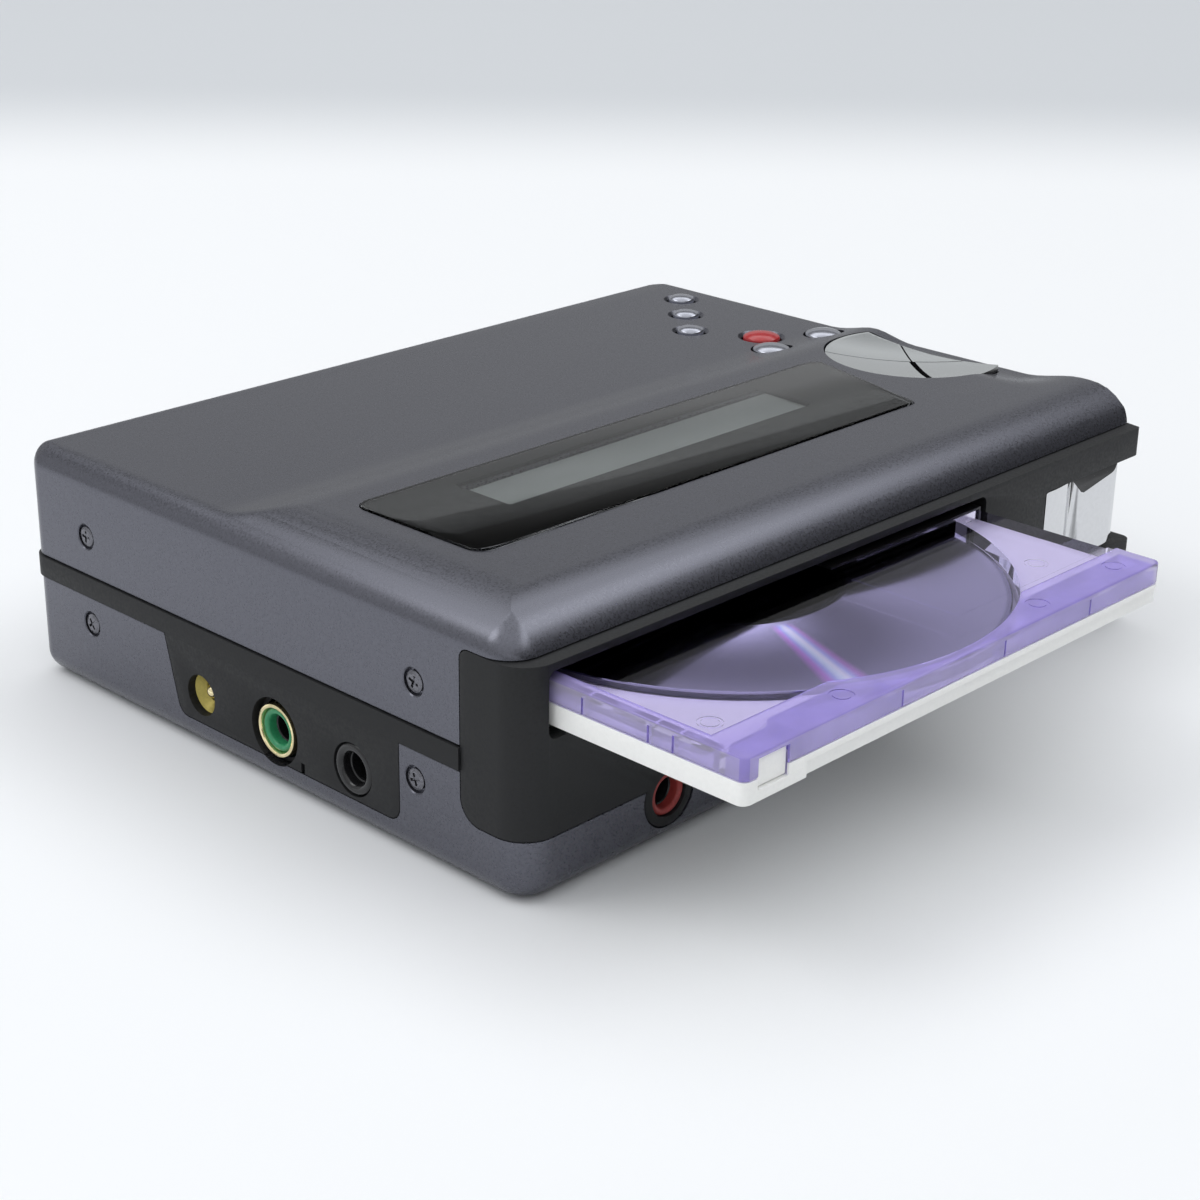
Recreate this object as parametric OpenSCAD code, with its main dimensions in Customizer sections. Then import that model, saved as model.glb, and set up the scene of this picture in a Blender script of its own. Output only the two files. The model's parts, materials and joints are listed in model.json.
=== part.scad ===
// Portable minidisc recorder with its disc cartridge part way out of the slot.
// Millimetres. The origin is the middle of the flat base, +Z is up, the disc slot faces -Y.

/* [Case] */
// Width of the case
body_w = 112; // [110:0.5:120]
// Depth of the case
body_d = 86; // [84:0.5:94]
// Height of the raised front part of the top
hump_h = 31; // [30:0.1:34]
// How far the flat rear part of the top lies under the raised front part
step_h = 1.6; // [1.2:0.1:2]
// Wall of the two metal shells
wall = 1.2; // [0.8:0.1:1.4]
// Radius of the two upright front corners
corner_r = 4; // [2.5:0.25:5]
// Radius of the two upright rear corners
rear_r = 2.75; // [2.5:0.25:4]
// Radius of the rear and right top edges
top_r = 1.6; // [1.5:0.1:3]
// Radius of the bottom edges
foot_r = 2.8; // [2:0.1:3.2]
// Depth of the rounded nose over the slot
nose_d = 9.7; // [8:0.1:11]
// Height of the rounded nose and of the rounded left edge
nose_h = 4.4; // [4:0.1:4.8]
// Width of the rounded left edge
side_d = 9; // [7:0.25:10]
// Set back of the nose from the bezel
nose_set = 0.5; // [0.2:0.1:0.8]
// Distance from the front where the top starts to fall to the rear
ramp_front = 41.5; // [40.5:0.25:43]
// Length of that slope
ramp_len = 10; // [8:0.25:12]
// Open seam between two case pieces
seam = 0.12; // [0.08:0.01:0.2]

/* [Band and bezel] */
// Bottom of the black band
band_z = 12.9; // [12.6:0.1:13.4]
// Height of the black band
band_h = 2.6; // [2.4:0.1:3.4]
// How far the band stands out of the case
band_proud = 0.25; // [0.15:0.05:0.6]
// Bottom edge of the front bezel
bezel_z = 7.2; // [6.6:0.1:7.8]
// Wall of the bezel
bezel_t = 2.4; // [2:0.1:2.8]
// How far the bezel reaches round the two front corners
bezel_wrap = 9.3; // [8.5:0.1:10]

/* [Cartridge] */
// Width of the disc cartridge
cart_w = 72; // [71:0.5:73]
// Depth of the disc cartridge
cart_d = 68; // [66:0.5:69]
// Thickness of the disc cartridge
cart_t = 5; // [4.6:0.1:5.2]
// Thickness of the lower half of the cartridge
cart_low = 2.4; // [2.2:0.1:2.6]
// Distance from the left face of the case to the cartridge
cart_margin = 4.4; // [4.2:0.1:5]
// How far the cartridge stands out of the slot at rest
cart_out = 24.6; // [20:0.2:30]
// Distance from the top of the case down to the cartridge
roof = 6.5; // [6.2:0.1:6.8]
// How deep the loaded cartridge sits behind the front face
load_inset = 2; // [1:0.1:3]
// Radius of the disc
disc_r = 32; // [31:0.1:32]
// Thickness of the disc
disc_t = 1.2; // [1:0.05:1.2]
// Thickness of the shutter's sheet
shutter_t = 0.3; // [0.2:0.05:0.35]
// Width of the shutter along the cartridge's side
shutter_l = 18.5; // [18.5:0.5:22]
// Share of the loading travel that opens the shutter
shutter_ratio = 0.65; // [0.5:0.05:0.65]

/* [Slot and holder] */
// Room beside the cartridge in the slot
slot_side = 0.9; // [0.7:0.05:1.1]
// Room over the cartridge in the slot
slot_over = 0.7; // [0.5:0.05:0.8]
// Room under the cartridge in the slot
slot_under = 1.3; // [1.25:0.05:1.4]
// How far the holder drops on to the turntable
drop = 1; // [0.8:0.05:1]
// Travel of the cam slider that drops the holder
cam_travel = 5; // [4:0.1:6]
// Sheet of the holder
sheet = 0.4; // [0.3:0.05:0.45]
// Radius of the holder's lift pins
lift_pin_r = 0.7; // [0.5:0.05:0.8]

/* [Mechanism] */
// Distance from the cartridge's underside down to that of the mechanism's deck
deck_room = 8.6; // [8.4:0.05:8.8]
// Thickness of the deck
deck_t = 1; // [0.8:0.05:1]
// Radius of the turntable's rotor
rotor_r = 8.5; // [8:0.1:9]
// Radius where the pickup starts to read
read_r = 15.5; // [15:0.1:16]
// Radial travel of the pickup
sled_travel = 15; // [13:0.1:15]
// Radius of the guide rods
guide_r = 0.9; // [0.7:0.05:1]
// Distance between the guide rods
guide_gap = 21; // [20:0.25:22]
// Teeth of the lead screw's gear
gear_teeth = 24; // [22:1:26]
// Teeth of the motor's pinion
pinion_teeth = 10; // [10:1:12]
// Gear module
gear_m = 0.35; // [0.33:0.01:0.36]
// Radius of the sled motor
motor_r = 3.6; // [3:0.1:3.8]

/* [Keys] */
// Radius of the three small keys
small_key_r = 1.9; // [1.6:0.1:2.1]
// Radius of the record, stop and pause keys
large_key_r = 2.6; // [2.2:0.1:2.8]
// How far the round keys stand out of the top
key_proud = 0.45; // [0.2:0.05:0.6]
// Room round a key
key_gap = 0.2; // [0.15:0.01:0.3]
// Travel of a key
key_travel = 0.5; // [0.3:0.05:0.5]
// Radius of the round control pad
pad_r = 12; // [11:0.1:12.4]
// Depth of the pad's dish
pad_dish = 1.1; // [0.6:0.05:1.3]
// Room between two sectors of the pad
pad_slit = 0.5; // [0.3:0.05:0.7]
// Half angle of the left and right sectors of the pad
pad_half = 50; // [42:1:56]

/* [Display] */
// Land between the display window and the pad, measured along the case's width
window_land = 0.7; // [0.5:0.1:2]
// Depth of the display window
window_d = 20.6; // [20:0.1:21.5]
// Thickness of the display window
window_t = 1.2; // [1:0.05:1.4]
// How far the window stands out of the top
window_proud = 0.2; // [0.1:0.05:0.4]

/* [Jacks] */
// Height of the block of a jack on the left side
jack_h = 7; // [6.6:0.1:7.2]
// Distance between two of those jacks
jack_pitch = 13.3; // [12.5:0.1:13.6]
// Radius of the bore of the headphone, line and microphone jacks
jack_bore_r = 1.78; // [1.76:0.01:1.8]
// Depth of those bores
jack_depth = 11; // [9:0.25:11.5]
// Radius of the collar of a jack
collar_r = 3.1; // [2.9:0.05:3.2]
// Radius of the power jack's bore
dc_bore_r = 2.5; // [2.3:0.05:2.7]
// Radius of the power jack's pin
dc_pin_r = 0.85; // [0.7:0.05:0.9]

/* [Eject lever] */
// Width of the lever along the front
lever_w = 15; // [14:0.25:16]
// Height of the bezel over and under the lever
lever_rim = 4.4; // [4:0.1:4.8]
// Outer radius of the lever about its pin
lever_r = 4.6; // [4.3:0.05:4.7]
// Thickness of the lever's plate
lever_t = 1.5; // [1.2:0.05:1.7]
// Radius of the lever's pin
lever_pin_r = 1; // [0.8:0.05:1.1]
// Swing of the lever in degrees
lever_swing = 15; // [10:1:16]

/* [Battery] */
// Room between the gears and the battery
battery_gap = 0.6; // [0.4:0.05:1]
// Length of the battery
battery_l = 46; // [42:0.25:47]
// Thickness of the battery
battery_t = 8.6; // [7.5:0.1:8.8]
// Outer radius of the door's knuckle
knuckle_r = 2; // [1.8:0.05:2.1]
// Radius of the door's hinge pin
hinge_pin_r = 0.7; // [0.5:0.05:0.8]

/* [Hidden] */
$fn = 48;
shell_grey = [0.40, 0.41, 0.46];
black = [0.06, 0.06, 0.07];
silver = [0.75, 0.76, 0.78];
steel = [0.62, 0.63, 0.65];
big = 200;

xl = -body_w / 2;
xr = body_w / 2;
yf = -body_d / 2;
yb = body_d / 2;
back_h = hump_h - step_h;
lip_z = hump_h - nose_h;
band_top = band_z + band_h;
fit = 0.05;
clear = 0.3;
skin = 0.1;

// The cartridge, and the turntable under the middle of the loaded cartridge
cart_x = xl + cart_margin + cart_w / 2;
cart_y = yf - cart_out + cart_d / 2;
cart_z = hump_h - roof - cart_t;
cart_top = cart_z + cart_t;
load_travel = cart_out + load_inset;
hub_x = cart_x;
hub_y = yf + load_inset + cart_d / 2;
cart_right = cart_x + cart_w / 2;
cart_left = cart_x - cart_w / 2;
slot_z = cart_z - slot_under;
slot_top = cart_top + slot_over;

// The holder's cage, from inside to outside
cage = clear;
holder_left = cart_left - cage - sheet;
holder_right = cart_right + cage + sheet;
holder_z = cart_z - skin - sheet;
holder_top = cart_top + skin + sheet;
holder_front = yf + bezel_t + 3;
holder_back = yf + load_travel - cart_out + cart_d + 3.5;
rail = 4;
slider_t = 0.5;
slider_left = holder_left - skin - slider_t;
side_t = 0.6;
side_left = slider_left - skin - side_t;
side_right = holder_right + skin + side_t;
deck_z = cart_z - deck_room;
deck_top = deck_z + deck_t;
lift_pin_z = (holder_z + holder_top) / 2;
lift_pins_y = [holder_front + 8, holder_back - 8];

module rounded(w, d, r) {
  square([w - 2 * r, d], center = true);
  square([w, d - 2 * r], center = true);
  for (x = [-1, 1], y = [-1, 1]) {
    translate([x * (w / 2 - r), y * (d / 2 - r)]) circle(r);
  }
}

module block(x0, x1, y0, y1, z0, z1) {
  translate([x0, y0, z0]) cube([x1 - x0, y1 - y0, z1 - z0]);
}

module rod_x(x0, x1, y, z, r) {
  translate([x0, y, z]) rotate([0, 90, 0]) cylinder(h = x1 - x0, r = r);
}

module rod_y(y0, y1, x, z, r) {
  translate([x, y0, z]) rotate([-90, 0, 0]) cylinder(h = y1 - y0, r = r);
}

module rod_z(z0, z1, x, y, r) {
  translate([x, y, z0]) cylinder(h = z1 - z0, r = r);
}

// A flat outline in Y and Z, drawn out along X from x0
module along_x(x0, h) {
  translate([x0, 0, 0]) rotate([90, 0, 90]) linear_extrude(h) children();
}

// A flat outline in X and Z, drawn out along Y from y0
module along_y(y0, h) {
  translate([0, y0 + h, 0]) rotate([90, 0, 0]) linear_extrude(h) children();
}

// A slot with round ends between two points, for a pin of radius r
module stadium(a, b, r) {
  run = norm(b - a);
  translate(a) rotate(atan2(b[1] - a[1], b[0] - a[0])) {
    circle(r);
    translate([run, 0]) circle(r);
    translate([0, -r]) square([run, 2 * r]);
  }
}

function arc(x, y, rx, ry, a0, a1, n) =
  [for (i = [0:n]) let (a = a0 + (a1 - a0) * i / n) [x + rx * cos(a), y + ry * sin(a)]];

ramp_y0 = yf + ramp_front;
ramp_y1 = ramp_y0 + ramp_len;

// Height of the top at a distance y
function top_at(y) =
  y <= ramp_y0 ? hump_h :
  y >= ramp_y1 ? back_h :
  back_h + (hump_h - back_h) * (1 + cos(180 * (y - ramp_y0) / ramp_len)) / 2;

// Radius of the bottom edges, which is smaller inside the case
function foot_at(i) = i > 0 ? foot_r - 1 : foot_r;

// The side outline of the case, drawn in by i all round
module side_outline(i) {
  nose_y = yf + nose_d;
  foot = foot_at(i);
  polygon(concat(
    arc(yb - i - foot, i + foot, foot, foot, -90, 0, 5),
    arc(yb - i - top_r, back_h - i - top_r, top_r, top_r, 0, 90, 6),
    [for (k = [0:6]) let (y = ramp_y1 - ramp_len * k / 6) [y, top_at(y) - i]],
    arc(nose_y, lip_z, nose_d - nose_set - i, nose_h - i, 90, 180, 8),
    [[yf + i, lip_z]],
    arc(yf + i + foot, i + foot, foot, foot, 180, 270, 5)));
}

// The front outline of the case, drawn in by i all round
module front_outline(i) {
  foot = foot_at(i);
  polygon(concat(
    arc(xr - i - foot, i + foot, foot, foot, -90, 0, 5),
    arc(xr - i - top_r, hump_h - i - top_r, top_r, top_r, 0, 90, 6),
    arc(xl + side_d, lip_z, side_d - i, nose_h - i, 90, 180, 8),
    arc(xl + i + foot, i + foot, foot, foot, 180, 270, 5)));
}

// The case seen from above, drawn in by i all round
module plan(i) {
  front = corner_r - i / 2;
  rear = rear_r - i / 2;
  w = body_w / 2 - i;
  translate([-w, yf + i + front]) square([2 * w, body_d - 2 * i - front - rear]);
  translate([-w + front, yf + i]) square([2 * w - 2 * front, body_d / 2]);
  translate([-w + rear, 0]) square([2 * w - 2 * rear, yb - i]);
  for (x = [-1, 1]) {
    translate([x * (w - front), yf + i + front]) circle(front);
    translate([x * (w - rear), yb - i - rear]) circle(rear);
  }
}

module case_solid(i) {
  intersection() {
    linear_extrude(hump_h) plan(i);
    along_x(xl, body_w) side_outline(i);
    along_y(yf, body_d) front_outline(i);
  }
}

module case_wall(t) {
  difference() {
    case_solid(0);
    case_solid(t);
  }
}

// What the bezel takes out of the two shells
module bezel_zone(gap) {
  block(-big, big, yf - big, yf + bezel_wrap - gap, bezel_z + gap, lip_z - gap);
}

// Screws through the sides into the middle frame
screw_z = [band_z - 3.6, band_top + 5];
screw_left_y = [yf + 16.3, yb - 11.8];
screw_right_y = [yf + 24, yb - 11.8];
screw_head_r = 1.4;
screw_head_h = 0.5;
screw_r = 0.7;
lug_t = 1;
lug_w = 4.4;

module at_screws() {
  for (z = screw_z) {
    for (y = screw_left_y) translate([xl, y, z]) children();
    translate([xr, screw_right_y[0], z]) mirror([1, 0, 0]) children();
  }
  translate([xr, screw_right_y[1], screw_z[1]]) mirror([1, 0, 0]) children();
}

module screw_holes() {
  at_screws() {
    rod_x(-1, wall + 1, 0, 0, screw_r + skin);
    rod_x(-1, screw_head_h + skin, 0, 0, screw_head_r + skin);
  }
}

module case_screws() {
  color(black) at_screws() {
    difference() {
      rod_x(skin, screw_head_h + skin, 0, 0, screw_head_r);
      block(-1, skin + 0.25, -0.15, 0.15, -0.8, 0.8);
      block(-1, skin + 0.25, -0.8, 0.8, -0.15, 0.15);
    }
    rod_x(screw_head_h + skin, wall + lug_t, 0, 0, screw_r);
  }
}

// The display window, in a recess of the raised front part of the top, from the left edge to the round pad
pad_at = [xr - 7, yf + 32.2];
window_x0 = xl + 11.3;
window_w = pad_at[0] - pad_r - window_land - window_x0;
window_y0 = yf + 18.1;
window_slant = 5.5;
window_z = hump_h + window_proud - window_t;
ledge = 3.4;
ledge_t = 1.6;
ledge_z = window_z - ledge_t;
lcd_t = 1;
lcd_frame_t = 0.9;

// The window's outline, grown by d, with a slanted right edge beside the pad
module window_plan(d) {
  lean = atan(window_slant / window_d);
  corner = 2.2;
  difference() {
    translate([window_x0 + window_w / 2, window_y0 + window_d / 2])
      rounded(window_w + 2 * d, window_d + 2 * d, max(corner + d, 0.3));
    translate([window_x0 + window_w - window_slant, window_y0])
      rotate(-lean) translate([d, -big / 2]) square(big);
  }
}

module display_window() {
  color([0.03, 0.03, 0.04]) translate([0, 0, window_z]) linear_extrude(window_t) window_plan(0);
}

module lcd_panel() {
  color([0.45, 0.50, 0.46]) translate([0, 0, ledge_z]) linear_extrude(lcd_t) window_plan(-ledge - 0.5);
}

module lcd_frame() {
  color(black) translate([0, 0, ledge_z - lcd_frame_t]) linear_extrude(lcd_frame_t) difference() {
    window_plan(-1);
    window_plan(-ledge - 3);
  }
}

// Keys on the top
small_keys = [for (k = [0:2]) [xr - 5.3 - 5.8 * k, yb - 10.2 - 6.1 * k]];
record_at = [xr - 11.9, yf + 54.7];
pause_at = [xr - 15.9, yf + 49.5];
stop_at = [xr - 4.9, yf + 49.2];
pad_cut = xr - 2.4;
pad_rim = hump_h - 0.35;
pad_low = hump_h - 2.8;
pad_flange = 0.6;
stem_z = hump_h - 4;
stem_r = 1.2;
key_flange = 0.6;
key_flange_t = 0.5;
switch_r = 1.5;
switch_top = stem_z - key_travel - 0.15;
board_t = 0.8;
key_board_top = switch_top - 0.9;
pad_angles = [180, 90, 0, -90];
pad_stem_r = 6.5;
pad_stems = [for (a = pad_angles) pad_at + pad_stem_r * [a == 0 ? 0.4 : cos(a), sin(a)]];
round_keys = concat(small_keys, [record_at, pause_at, stop_at]);
post_r = 1.3;
post_pin_r = 0.6;
key_posts = [[xr - 18, yb - 9], [xr - 3, yb - 23], [xr - 3.6, yf + 16.6]];

module round_key(p, r) {
  top = top_at(p[1]) + key_proud;
  low = top_at(p[1] + r) - wall - skin - key_flange_t - 0.3;
  dome = r * 4;
  intersection() {
    union() {
      rod_z(low, top, p[0], p[1], r);
      rod_z(low, low + key_flange_t, p[0], p[1], r + key_flange);
      rod_z(stem_z, low + key_flange_t / 2, p[0], p[1], stem_r);
    }
    translate([p[0], p[1], top - dome]) sphere(dome, $fn = 120);
  }
}

module edit_key_1() {
  color(silver) round_key(small_keys[0], small_key_r);
}

module edit_key_2() {
  color(silver) round_key(small_keys[1], small_key_r);
}

module edit_key_3() {
  color(silver) round_key(small_keys[2], small_key_r);
}

module record_key() {
  color([0.65, 0.08, 0.10]) round_key(record_at, large_key_r);
}

module pause_key() {
  color(silver) round_key(pause_at, large_key_r);
}

module stop_key() {
  color(silver) round_key(stop_at, large_key_r);
}

// The pad's outline, cut off along the right edge of the case and drawn in by i
module pad_plan(i) {
  intersection() {
    translate(pad_at) circle(pad_r - i);
    translate([-big, -big]) square([big + pad_cut - i, 2 * big]);
  }
}

// A wedge from the pad's middle, between two angles, drawn in by half a slit
module wedge(a0, a1) {
  mid = (a0 + a1) / 2;
  half = (a1 - a0) / 2;
  back = pad_slit / 2 / sin(half);
  reach = 3 * pad_r;
  translate(pad_at + back * [cos(mid), sin(mid)]) polygon([[0, 0],
    reach * [cos(a0), sin(a0)], reach / cos(half) * [cos(mid), sin(mid)], reach * [cos(a1), sin(a1)]]);
}

module pad_key(k, a0, a1) {
  dish_r = (pad_r * pad_r + pad_dish * pad_dish) / (2 * pad_dish);
  color(silver) union() {
    difference() {
      translate([0, 0, pad_low]) linear_extrude(pad_rim - pad_low) intersection() {
        pad_plan(key_gap);
        wedge(a0, a1);
      }
      translate([pad_at[0], pad_at[1], pad_rim - pad_dish + dish_r]) sphere(dish_r, $fn = 360);
    }
    translate([0, 0, pad_low - pad_flange]) linear_extrude(pad_flange) intersection() {
      pad_plan(-key_gap);
      wedge(a0, a1);
    }
    rod_z(stem_z, pad_low - pad_flange / 2, pad_stems[k][0], pad_stems[k][1], stem_r);
  }
}

module pad_key_left() {
  pad_key(0, 180 - pad_half, 180 + pad_half);
}

module pad_key_rear() {
  pad_key(1, pad_half, 180 - pad_half);
}

module pad_key_right() {
  pad_key(2, -pad_half, pad_half);
}

module pad_key_front() {
  pad_key(3, 180 + pad_half, 360 - pad_half);
}

module key_board() {
  board_z = key_board_top - board_t;
  color([0.10, 0.32, 0.20]) difference() {
    union() {
      block(xr - 20.5, xr - wall - 0.4, ramp_y0 + 3, yb - 6, board_z, key_board_top);
      block(xr - 16.8, xr - wall - 0.4, yf + 14.6, ramp_y0 + 3.1, board_z, key_board_top);
    }
    for (p = key_posts) rod_z(board_z - 1, key_board_top + 1, p[0], p[1], post_pin_r + fit);
  }
}

module key_switches() {
  color(steel) for (p = concat(round_keys, pad_stems)) rod_z(key_board_top, switch_top, p[0], p[1], switch_r);
}

module top_shell() {
  color(shell_grey) difference() {
    union() {
      difference() {
        case_wall(wall);
        block(-big, big, -big, big, -1, band_top);
        bezel_zone(-seam / 2);
      }
      translate([0, 0, ledge_z]) linear_extrude(hump_h - wall / 2 - ledge_z) window_plan(1.6);
      for (p = key_posts) {
        rod_z(key_board_top, top_at(p[1]) - wall / 2, p[0], p[1], post_r);
        rod_z(key_board_top - board_t - 0.3, key_board_top, p[0], p[1], post_pin_r);
      }
    }
    translate([0, 0, window_z]) linear_extrude(big) window_plan(seam);
    translate([0, 0, ledge_z - 1]) linear_extrude(big) window_plan(-ledge);
    for (p = small_keys) rod_z(back_h - 3, hump_h + 1, p[0], p[1], small_key_r + key_gap);
    for (p = [record_at, pause_at, stop_at]) rod_z(back_h - 3, hump_h + 1, p[0], p[1], large_key_r + key_gap);
    translate([0, 0, pad_low]) linear_extrude(big) pad_plan(0);
    screw_holes();
  }
}

// The jack panel on the left side: a slanted rear edge and round lower corners
panel_y0 = yf + 18.8;
panel_y1 = yf + 59.7;
panel_slant = 2.4;
panel_z = 3.4;
panel_r = 1.6;
panel_t = 1.6;
dc_y = yf + 26.3 + 2 * jack_pitch;
headphone_y = yf + 26.3 + jack_pitch;
line_y = yf + 26.3;
recess_r = collar_r + 0.9;

module panel_outline(d) {
  polygon(concat(
    arc(panel_y0 + panel_r, panel_z + panel_r, panel_r + d, panel_r + d, 180, 270, 5),
    arc(panel_y1 - panel_slant - panel_r, panel_z + panel_r, panel_r + d, panel_r + d, 270, 345, 5),
    [[panel_y1 + d, band_z + 1], [panel_y0 - d, band_z + 1]]));
  translate([headphone_y, jack_z]) circle(recess_r + d);
}

module bottom_shell() {
  color(shell_grey) difference() {
    union() {
      difference() {
        case_wall(wall);
        block(-big, big, -big, big, band_z, hump_h + 1);
        bezel_zone(-seam / 2);
      }
      for (p = damper_at) rod_z(wall / 2, damper_z, p[0], p[1], damper_post_r);
      for (p = board_posts) rod_z(wall / 2, board_z, p[0], p[1], post_r);
      battery_ribs();
      hinge_bosses();
    }
    along_x(xl - 1, wall + 2) panel_outline(seam);
    rod_y(yf - 1, yf + bezel_t + 1, mic_x, mic_z, mic_boss_r + seam);
    for (p = damper_at) rod_z(damper_z - 6, damper_z + 1, p[0], p[1], shoulder_r + fit);
    battery_opening();
    rod_z(hinge_low, hinge_high, hinge_x, hinge_y, hinge_pin_r + fit);
    screw_holes();
  }
}

module mid_frame() {
  inside = 2;
  color(black) difference() {
    union() {
      difference() {
        translate([0, 0, band_z]) linear_extrude(band_h) difference() {
          plan(-band_proud);
          plan(inside);
        }
        block(-big, big, -big, yf + bezel_wrap, 0, big);
      }
      along_x(xl, panel_t) intersection() {
        panel_outline(0);
        translate([-big, 0]) square([2 * big, band_z + band_h / 2]);
      }
      at_screws() block(wall, wall + lug_t, -lug_w / 2, lug_w / 2, -lug_w / 2, lug_w / 2);
      for (z = screw_z, s = [-1, 1]) mid_lug_arms(z, s);
    }
    at_screws() rod_x(wall - 1, wall + lug_t + 1, 0, 0, screw_r + fit);
    rod_x(xl - 1, xl + panel_t + 1, dc_y, jack_z, dc_bore_r);
    rod_x(xl - 1, xl + panel_t + 1, headphone_y, jack_z, recess_r - 0.5);
    rod_x(xl - 1, xl + panel_t + 1, line_y, jack_z, collar_r + fit);
  }
}

// Arms that carry the screw lugs on the band
module mid_lug_arms(z, s) {
  low = z > band_z ? band_z + 0.5 : z;
  high = z > band_z ? z : band_z + band_h - 0.5;
  ys = s < 0 ? screw_left_y : z > band_z ? screw_right_y : [screw_right_y[0]];
  for (y = ys) {
    x = s < 0 ? xl + wall : xr - wall - lug_t;
    block(x, x + lug_t, y - lug_w / 2, y + lug_w / 2, low, high);
  }
}

// The front bezel: slot, microphone boss and the recess of the eject lever
mic_x = xl + 21.7;
mic_z = 5.8;
mic_boss_r = 3.8;
mic_collar_r = 2.6;
lever_x = xr - lever_r - 1;
lever_y = yf + lever_r + 0.7;
lever_z = bezel_z + lever_rim;
lever_top = lip_z - lever_rim;
lever_h = lever_top - lever_z;
recess_left = lever_x - lever_w - 1.2;
recess_z = lever_z - 0.5;
recess_top = lever_top + 0.6;
plate_t = 1.1;
plate_depth = 9;

module lever_plate(z) {
  translate([0, 0, z]) linear_extrude(plate_t) difference() {
    intersection() {
      plan(0);
      union() {
        translate([recess_left - 1, yf]) square([xr - recess_left + 1, bezel_wrap - seam / 2]);
        translate([lever_x - 4, yf + 2]) square([7.5, plate_depth + 2]);
      }
    }
    translate([lever_x, lever_y]) circle(lever_pin_r + 0.02);
  }
}

module front_bezel() {
  color(black) union() {
    difference() {
      union() {
        intersection() {
          case_wall(bezel_t);
          bezel_zone(seam / 2);
        }
        rod_y(yf, yf + bezel_t, mic_x, mic_z, mic_boss_r);
      }
      block(cart_left - slot_side, cart_right + slot_side, yf - 1, yf + bezel_t + 1, slot_z, slot_top);
      rod_y(yf - 1, yf + bezel_t + 1, mic_x, mic_z, mic_collar_r + fit);
      block(recess_left, xr + 1, yf - 1, yf + bezel_wrap + 1, recess_z, recess_top);
    }
    lever_plate(recess_z - plate_t);
    lever_plate(recess_top);
    block(recess_left - 1, recess_left, yf + 0.6, yf + bezel_t + 3, recess_z - plate_t, recess_top + plate_t);
  }
}

// The eject lever turns on an upright pin at the right front corner
arm_z = lever_z + 2.6;
arm_t = 1.2;
arm_reach = 11;
arm_w = 2.4;
link_pin_r = 0.8;
link_x = lever_x - arm_reach;
link_z = recess_z + 1.1;
tongue_z = link_z - clear - deck_t;
link_t = 0.8;

module eject_lever() {
  grip = 2.2;
  grip_x = -lever_w + 5.6;
  color([0.86, 0.87, 0.89]) translate([lever_x, lever_y, 0]) difference() {
    union() {
      translate([0, 0, lever_z]) linear_extrude(lever_h) difference() {
        union() {
          translate([-lever_w, -lever_r]) square([lever_w, lever_t]);
          intersection() {
            difference() {
              circle(lever_r);
              circle(lever_r - lever_t);
            }
            translate([0, -lever_r]) square([lever_r, lever_r]);
          }
          translate([lever_r - lever_t, 0]) square([lever_t, 2.5]);
          translate([-1.2, -lever_r + lever_t / 2]) square([2.4, lever_r]);
          circle(lever_pin_r + 1.2);
        }
        translate([grip_x, -lever_r - grip * 0.45]) circle(grip);
        circle(lever_pin_r + fit);
      }
      difference() {
        block(-arm_reach - arm_w / 2, 0, -arm_w / 2, arm_w / 2, arm_z, arm_z + arm_t);
        rod_z(arm_z - 1, arm_z + arm_t + 1, 0, 0, lever_pin_r + 0.6);
      }
      rod_z(link_z - 0.3, arm_z + 0.2, -arm_reach, 0, link_pin_r);
    }
  }
}

module lever_pin() {
  color(steel) rod_z(recess_z - plate_t, recess_top + plate_t, lever_x, lever_y, lever_pin_r);
}

// The link that the lever's arm pulls, on two guide posts of the chassis
link_y = [lever_y + 6, lever_y + 14];
link_w = 5.6;
link_post_r = 1;
link_travel = arm_reach * lever_swing * PI / 180;

module eject_link() {
  room = link_travel + clear;
  color(steel) translate([link_x, 0, link_z]) linear_extrude(link_t) difference() {
    translate([-link_w / 2, lever_y - 1.9]) square([link_w, 23.5]);
    stadium([-1.2, lever_y], [1.2, lever_y], link_pin_r + 0.2);
    for (y = link_y) stadium([0, y], [0, y + room], link_post_r + 0.2);
  }
}

// The disc cartridge
cart_corner = 1;
floor_t = 1;
gate_in = read_r - 3;
track_in = cart_w / 2 - gate_in + 5.4;
track_y0 = cart_y - shutter_l / 2 - shutter_ratio * load_travel - 0.4;
track_y1 = cart_y + shutter_l / 2 + 0.4;
track_depth = shutter_t + 0.08;
gate_half = 9;
hub_hole_r = 6;
well_r = disc_r + 0.7;
well_z = cart_z + floor_t;
well_top = cart_top - floor_t;
tab_x = cart_left + 2;
tab_w = 3.6;
tab_l = 4.4;
tab_travel = 2.2;

module cart_body(z0, z1) {
  difference() {
    translate([cart_x, cart_y, z0]) linear_extrude(z1 - z0) rounded(cart_w, cart_d, cart_corner);
    rod_z(well_z, well_top, cart_x, cart_y, well_r);
    block(cart_x + gate_in, cart_right + 1, cart_y - gate_half, cart_y + gate_half,
      cart_z - 1, cart_top + 1);
    block(cart_right - track_in, cart_right + 1, track_y0, track_y1, cart_z - 1, cart_z + track_depth);
    block(cart_right - track_in, cart_right + 1, track_y0, track_y1, cart_top - track_depth, cart_top + 1);
    block(cart_right - track_depth, cart_right + 1, track_y0, track_y1, cart_z - 1, cart_top + 1);
    tab_slot();
  }
}

module tab_slot() {
  y = cart_y - cart_d / 2;
  z = cart_z + cart_low;
  block(tab_x - fit, tab_x + tab_l + tab_travel + fit, y - 1, y + tab_w, z - 1.2, z + 2.1);
}

module cartridge_upper() {
  color([0.52, 0.36, 0.66, 0.7]) cart_body(cart_z + cart_low, cart_top);
}

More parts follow.
